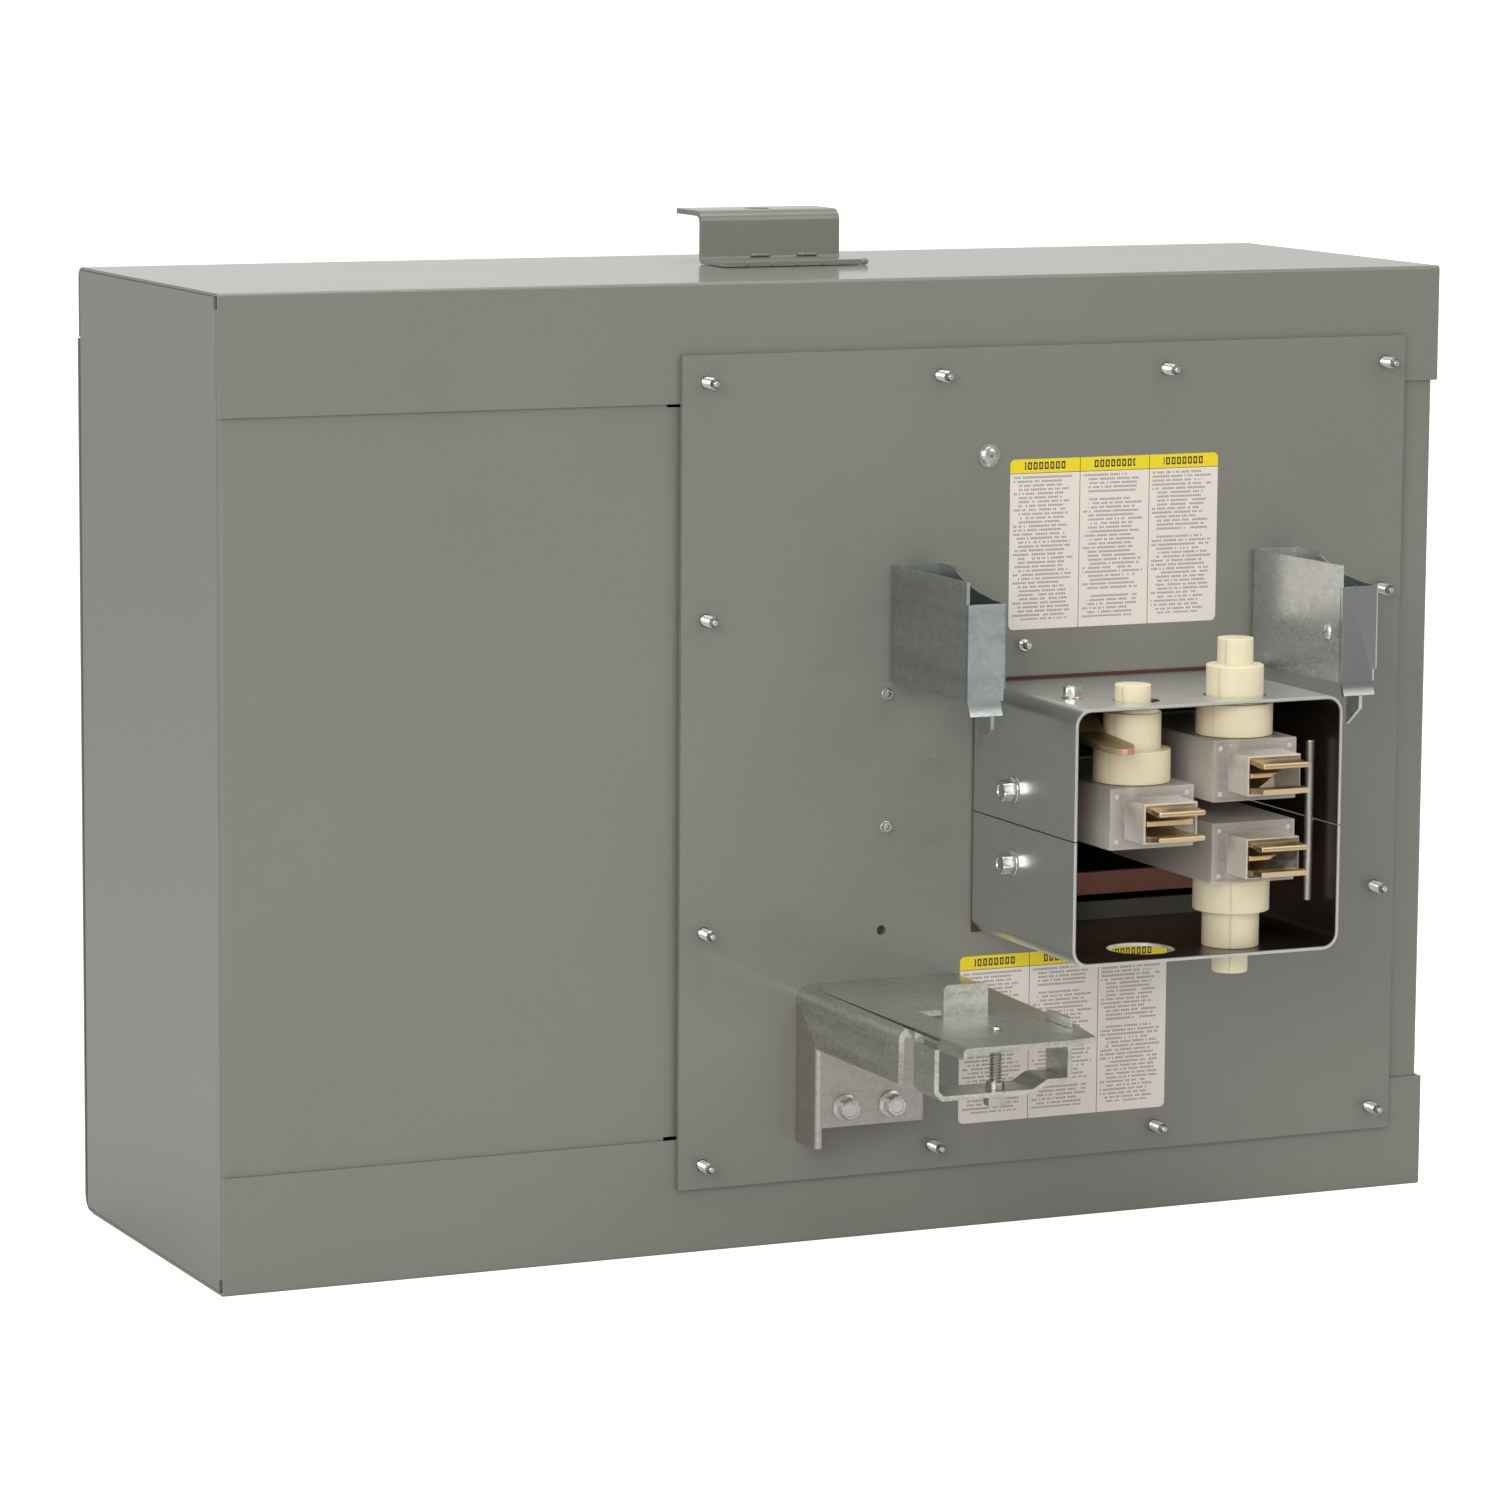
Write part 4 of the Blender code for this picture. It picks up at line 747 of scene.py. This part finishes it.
# ------------------------------------------------------------------ jaw boots
# Insulating boots moulded in milky vinyl.  Each is a sleeve with a thin clear nose round
# the fingers, and small ejector pips on its front.
def milky_vinyl():
    material, tree, shader = blank_finish("milky_vinyl")
    cloud = put(tree, "TexNoise", {"Scale": 55.0, "Detail": 4.0, "Roughness": 0.6})
    place = put(tree, "SeparateXYZ", {"Vector": put(tree, "TexCoord").outputs["Object"]})
    nose = put(tree, "MapRange", {"Value": place.outputs["Y"], "From Min": spot(0, 0.1225, 0).y,
                                  "From Max": spot(0, 0.1215, 0).y})
    tint = blend_colours(tree, cloud.outputs["Fac"], (0.84, 0.80, 0.74), (0.95, 0.92, 0.86))
    tree.links.new(tint, shader.inputs["Base Color"])
    tree.links.new(spread(tree, cloud.outputs["Fac"], 0.20, 0.32), shader.inputs["Roughness"])
    thick = put(tree, "MapRange", {"Value": nose.outputs["Result"], "To Min": -0.06, "To Max": 0.0})
    veil = sum_of(tree, "ADD", spread(tree, cloud.outputs["Fac"], 0.24, 0.33), thick.outputs["Result"])
    # Sharp edges get more opacity, so they read lighter: partly milky thickness at the edges, partly a
    # painted highlight.
    edge = put(tree, "NewGeometry").outputs["Pointiness"]
    rim = put(tree, "MapRange", {"Value": edge, "From Min": 0.51, "From Max": 0.60, "To Max": 0.40})
    tree.links.new(sum_of(tree, "ADD", veil, rim.outputs["Result"]), shader.inputs["Alpha"])
    shader.inputs["Coat Weight"].default_value = 0.5
    shader.inputs["Coat Roughness"].default_value = 0.16
    raise_surface(tree, shader, cloud.outputs["Fac"], 0.10, 0.0006)
    return material


MILKY_VINYL = milky_vinyl()
dress(MILKY_VINYL, 0.0006, "jaw_boot_a", "jaw_boot_b", "jaw_boot_c", segments=3)

BOOT_REACH = 0.1220
for pole in "abc":
    low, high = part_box("jaw_boot_" + pole)
    front = spot(0, BOOT_REACH, 0).y
    middle = (low + high) / 2
    details = bmesh.new()
    for x in (low.x + 0.0042, high.x - 0.0042):
        for z in (low.z + 0.0042, high.z - 0.0042):
            dome = bmesh.new()
            turn_profile(dome, [(0, 0.0010), (0.0007, 0.0009), (0.0012, 0.0005), (0.0014, 0.00002),
                                (0, 0.00002)], 16)
            face_out(dome, (0, -1, 0), Vector((x, front, z)))
            step = bpy.data.meshes.new("pip")
            dome.to_mesh(step)
            dome.free()
            details.from_mesh(step)
            bpy.data.meshes.remove(step)
    piece_from(details, "boot_%s_pips" % pole, MILKY_VINYL, "enclosure")


# ------------------------------------------------------------------ jaw clips and straps
# Spring clips of plated copper either side of a copper strap.  The ends are rolled smooth
# to lead on to the bus bar, and the plating stops behind the boots.
def plated_metal(name, bare, plated, edge):
    """Copper alloy whose plating ends at a given reach; edge None plates it all."""
    material, tree, shader = blank_finish(name)
    marks = place_group(tree, HANDLING_MARKS, Scale=260.0, Coverage=0.55)
    worn = blend_colours(tree, marks.outputs["Rub"], tuple(c * 0.86 for c in plated), plated)
    if edge is None:
        colour = worn
    else:
        place = put(tree, "SeparateXYZ", {"Vector": put(tree, "TexCoord").outputs["Object"]})
        front = sum_of(tree, "LESS_THAN", place.outputs["Y"], edge)
        colour = blend_colours(tree, front, bare, worn)
    tree.links.new(colour, shader.inputs["Base Color"])
    shader.inputs["Metallic"].default_value = 1.0
    tree.links.new(spread(tree, marks.outputs["Rub"], 0.36, 0.22), shader.inputs["Roughness"])
    raise_surface(tree, shader, marks.outputs["Scratch"], 0.20, 0.00006)
    return material


GOLD = (0.86, 0.68, 0.40)
COPPER = (0.72, 0.36, 0.26)
CLIP_PLATE = plated_metal("clip_plate", COPPER, GOLD, None)
STRAP_PLATE = plated_metal("strap_plate", COPPER, GOLD, spot(0, 0.110, 0).y)
for pole in "abc":
    dress(CLIP_PLATE, 0.0009, "jaw_clip_upper_" + pole, "jaw_clip_lower_" + pole, segments=3)
    dress(STRAP_PLATE, 0.0009, "line_strap_" + pole, segments=3)


# ------------------------------------------------------------------ jaw bolts
# Nylon covers moulded over the steel bolts that close the jaws: a wide collar, a sleeve
# and a round tip, with a faint parting line down two sides.
def cream_nylon():
    material, tree, shader = blank_finish("cream_nylon")
    cloud = put(tree, "TexNoise", {"Scale": 45.0, "Detail": 3.0})
    tint = blend_colours(tree, cloud.outputs["Fac"], (0.86, 0.77, 0.55), (0.95, 0.88, 0.67))
    tree.links.new(tint, shader.inputs["Base Color"])
    tree.links.new(spread(tree, cloud.outputs["Fac"], 0.34, 0.46), shader.inputs["Roughness"])
    shader.inputs["Subsurface Weight"].default_value = 0.45
    shader.inputs["Subsurface Radius"].default_value = (1.0, 0.7, 0.35)
    shader.inputs["Subsurface Scale"].default_value = 0.004
    pores = put(tree, "TexNoise", {"Scale": 1300.0, "Detail": 2.0})
    raise_surface(tree, shader, pores.outputs["Fac"], 0.05, 0.0001)
    return material


CREAM_NYLON = cream_nylon()


def filleted(points, radius, steps=4):
    """A turning profile with its inner corners eased by small arcs."""
    path = [Vector(points[0])]
    for before, corner, after in zip(points, points[1:], points[2:]):
        corner = Vector(corner)
        back = Vector(before) - corner
        ahead = Vector(after) - corner
        ease = min(radius, back.length * 0.45, ahead.length * 0.45)
        first = corner + back.normalized() * ease
        last = corner + ahead.normalized() * ease
        for step in range(steps + 1):
            t = step / steps
            path.append(first * (1 - t) ** 2 + corner * (2 * t * (1 - t)) + last * t ** 2)
    path.append(Vector(points[-1]))
    return [(max(0.0, p.x), p.y) for p in path]


COLLAR, SLEEVE, TIP = 0.0170, 0.0192, 0.0140
for pole, side in (("a", 1), ("b", 1), ("c", -1)):
    low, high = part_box("jaw_bolt_" + pole)
    middle = (low + high) / 2
    top = COLLAR + SLEEVE + TIP
    cover = bmesh.new()
    profile = filleted([(0, top), (0.0094, top), (0.0094, COLLAR + SLEEVE), (0.0150, COLLAR + SLEEVE),
                        (0.0150, COLLAR), (0.0201, COLLAR), (0.0201, 0.0), (0.0040, 0.0), (0.0030, -0.0004),
                        (0.0030, -0.0250), (0, -0.0255)], 0.0006)
    turn_profile(cover, profile, 72)
    for turn in (0.5, 0.5 + math.pi):
        for radius, start, end in ((0.0201, 0.0008, COLLAR - 0.0008),
                                   (0.0150, COLLAR + 0.0004, COLLAR + SLEEVE - 0.0008),
                                   (0.0094, COLLAR + SLEEVE + 0.0004, top - 0.0008)):
            line = bmesh.ops.create_cone(cover, cap_ends=True, segments=6, radius1=0.00022, radius2=0.00022,
                                         depth=end - start)
            at = (radius * math.cos(turn), radius * math.sin(turn), (start + end) / 2)
            bmesh.ops.translate(cover, vec=at, verts=line["verts"])
    gate = bmesh.ops.create_cone(cover, cap_ends=True, segments=20, radius1=0.0016, radius2=0.0013,
                                 depth=0.0003)
    bmesh.ops.translate(cover, vec=(0.0040, 0.0022, top + 0.0001), verts=gate["verts"])
    seat = low.z + 0.0255 if side > 0 else high.z - 0.0255
    face_out(cover, (0, 0, side), Vector((middle.x, middle.y, seat)))
    made = piece_from(cover, "jaw_bolt_%s_cover" % pole, CREAM_NYLON, "bolt_" + pole)
    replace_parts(made, "jaw_bolt_" + pole)


# ------------------------------------------------------------------ ground stab and inner bars
# The stab that meets the busway housing first is tarnished bronze with a sheared copper
# tip.  It hangs from the throat.  A steel tie rod and a copper bar cross the opening.
def tarnished_bronze():
    material, tree, shader = blank_finish("tarnished_bronze")
    marks = place_group(tree, HANDLING_MARKS, Scale=160.0, Coverage=0.6)
    place = put(tree, "SeparateXYZ", {"Vector": put(tree, "TexCoord").outputs["Object"]})
    tip = put(tree, "MapRange", {"Value": place.outputs["Y"], "From Min": spot(0, 0.1400, 0).y,
                                 "From Max": spot(0, 0.1435, 0).y})
    skin = blend_colours(tree, marks.outputs["Rub"], (0.42, 0.34, 0.17), (0.62, 0.50, 0.28))
    tint = blend_colours(tree, tip.outputs["Result"], skin, (0.74, 0.40, 0.28))
    tree.links.new(tint, shader.inputs["Base Color"])
    shader.inputs["Metallic"].default_value = 1.0
    tree.links.new(spread(tree, marks.outputs["Rub"], 0.46, 0.30), shader.inputs["Roughness"])
    raise_surface(tree, shader, marks.outputs["Scratch"], 0.2, 0.00006)
    return material


def dull_copper():
    material, tree, shader = blank_finish("dull_copper")
    marks = place_group(tree, HANDLING_MARKS, Scale=60.0, Coverage=0.4)
    tint = blend_colours(tree, marks.outputs["Rub"], (0.86, 0.38, 0.27), (0.95, 0.48, 0.36))
    tree.links.new(tint, shader.inputs["Base Color"])
    shader.inputs["Metallic"].default_value = 0.1
    tree.links.new(spread(tree, marks.outputs["Rub"], 0.52, 0.42), shader.inputs["Roughness"])
    raise_surface(tree, shader, marks.outputs["Scratch"], 0.15, 0.00006)
    return material


dress(tarnished_bronze(), 0.0006, "ground_stab", segments=3)
dress(dull_copper(), 0.0005, "ground_link")
low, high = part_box("tie_rod")
middle = (low + high) / 2
rod = bmesh.new()
turn_profile(rod, filleted([(0, high.z), (0.0024, high.z), (0.0024, low.z), (0, low.z)], 0.0005), 32)
cut_thread(rod, 0.00235, 0.0026, 0.0008, low.z + 0.001, low.z + 0.012)
cut_thread(rod, 0.00235, 0.0026, 0.0008, high.z - 0.012, high.z - 0.001)
face_out(rod, (0, 0, 1), Vector((middle.x, middle.y, 0)))
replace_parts(piece_from(rod, "tie_rod_threaded", BRIGHT_ZINC, "enclosure"), "tie_rod")


# ------------------------------------------------------------------ clamp
# A stand-off base and an arm of three millimetre galvanized steel, with a C-shaped jaw that
# a flanged bolt draws up under the arm.
ARM_STEEL = galvanized("arm_steel", (0.48, 0.49, 0.46), (0.88, 0.89, 0.84), 0.34, 650.0, 12.0, 0.08)
BASE_STEEL = galvanized("base_steel", (0.46, 0.44, 0.42), (0.60, 0.58, 0.55), 0.48, 600.0, 9.0)
dress(BASE_STEEL, 0.0005, "clamp_base")
dress(ARM_STEEL, 0.0005, "clamp_arm")
dress(ARM_STEEL, 0.0004, "clamp_jaw")

for number in (1, 2):
    low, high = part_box("base_screw_%d" % number)
    middle = (low + high) / 2
    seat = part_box("clamp_base")[0].y - 0.0001
    flange_screw("base_hex_screw_%d" % number, "base_screw_%d" % number, (0, -1, 0),
                 Vector((middle.x, seat, middle.z)), 0.0148, 0.0100, 0.0060, 0.0029, 0.0085)

low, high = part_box("clamp_bolt")
middle = (low + high) / 2
FLOOR = low.z + 0.0062
clamp_screw = bmesh.new()
turn_profile(clamp_screw, filleted([(0, high.z), (0.0021, high.z), (0.0023, high.z - 0.0007),
                                    (0.0023, FLOOR + 0.0064), (0.0047, FLOOR + 0.0064),
                                    (0.0047, FLOOR + 0.0045), (0.0044, FLOOR + 0.0043),
                                    (0.0047, FLOOR + 0.0041), (0.0047, FLOOR + 0.0028),
                                    (0.0030, FLOOR + 0.0028), (0.0030, FLOOR - 0.0003),
                                    (0.0070, FLOOR - 0.0003), (0.0070, FLOOR - 0.0010),
                                    (0.0055, FLOOR - 0.0015), (0, FLOOR - 0.0015)], 0.0002, 2), 40)
cut_thread(clamp_screw, 0.0023, 0.0033, 0.00150, FLOOR + 0.0066, high.z - 0.0004, steps=24)
head = bmesh.new()
hex_head(head, 0.0100, 0.0, 0.0050, 0.0007)
face_out(head, (0, 0, -1), Vector((0, 0, FLOOR - 0.0010)))
loose = bpy.data.meshes.new("loose_head")
head.to_mesh(loose)
head.free()
clamp_screw.from_mesh(loose)
bpy.data.meshes.remove(loose)
bmesh.ops.translate(clamp_screw, vec=(middle.x, middle.y, 0), verts=clamp_screw.verts)
made = piece_from(clamp_screw, "clamp_bolt_threaded", BRIGHT_ZINC, "clamp_bolt_body",
                  sharp=28)
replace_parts(made, "clamp_bolt")


# ------------------------------------------------------------------ door, hinges and latches
# Flat enamelled door with a rolled lower edge, on two loose-pin hinges, held shut by two
# quarter-turn latches with slotted heads.
dress(GREY_ENAMEL, 0.0005, "front_door")
dress(BRIGHT_ZINC, 0.0004, "hinge_leaf_lower", "hinge_leaf_upper", "latch_lower", "latch_upper")


# ------------------------------------------------------------------ breaker and operator
# Glass-filled black moulding for the breaker, its toggle and the handle on the door.  The
# shaft and the bridge that carries it are zinc plated.
def black_moulding():
    material, tree, shader = blank_finish("black_moulding")
    grain = put(tree, "TexVoronoi", {"Scale": 1500.0})
    cloud = put(tree, "TexNoise", {"Scale": 30.0, "Detail": 4.0})
    tint = blend_colours(tree, cloud.outputs["Fac"], (0.018, 0.018, 0.019), (0.034, 0.034, 0.035))
    tree.links.new(tint, shader.inputs["Base Color"])
    tree.links.new(spread(tree, cloud.outputs["Fac"], 0.40, 0.55), shader.inputs["Roughness"])
    raise_surface(tree, shader, grain.outputs["Distance"], 0.12, 0.0001)
    return material


BLACK_MOULDING = black_moulding()
dress(BLACK_MOULDING, 0.0010, "operating_handle", "breaker_case", segments=3)
dress(BLACK_MOULDING, 0.0006, "breaker_toggle")
dress(BRIGHT_ZINC, 0.0004, "operator_shaft", "shaft_bridge")
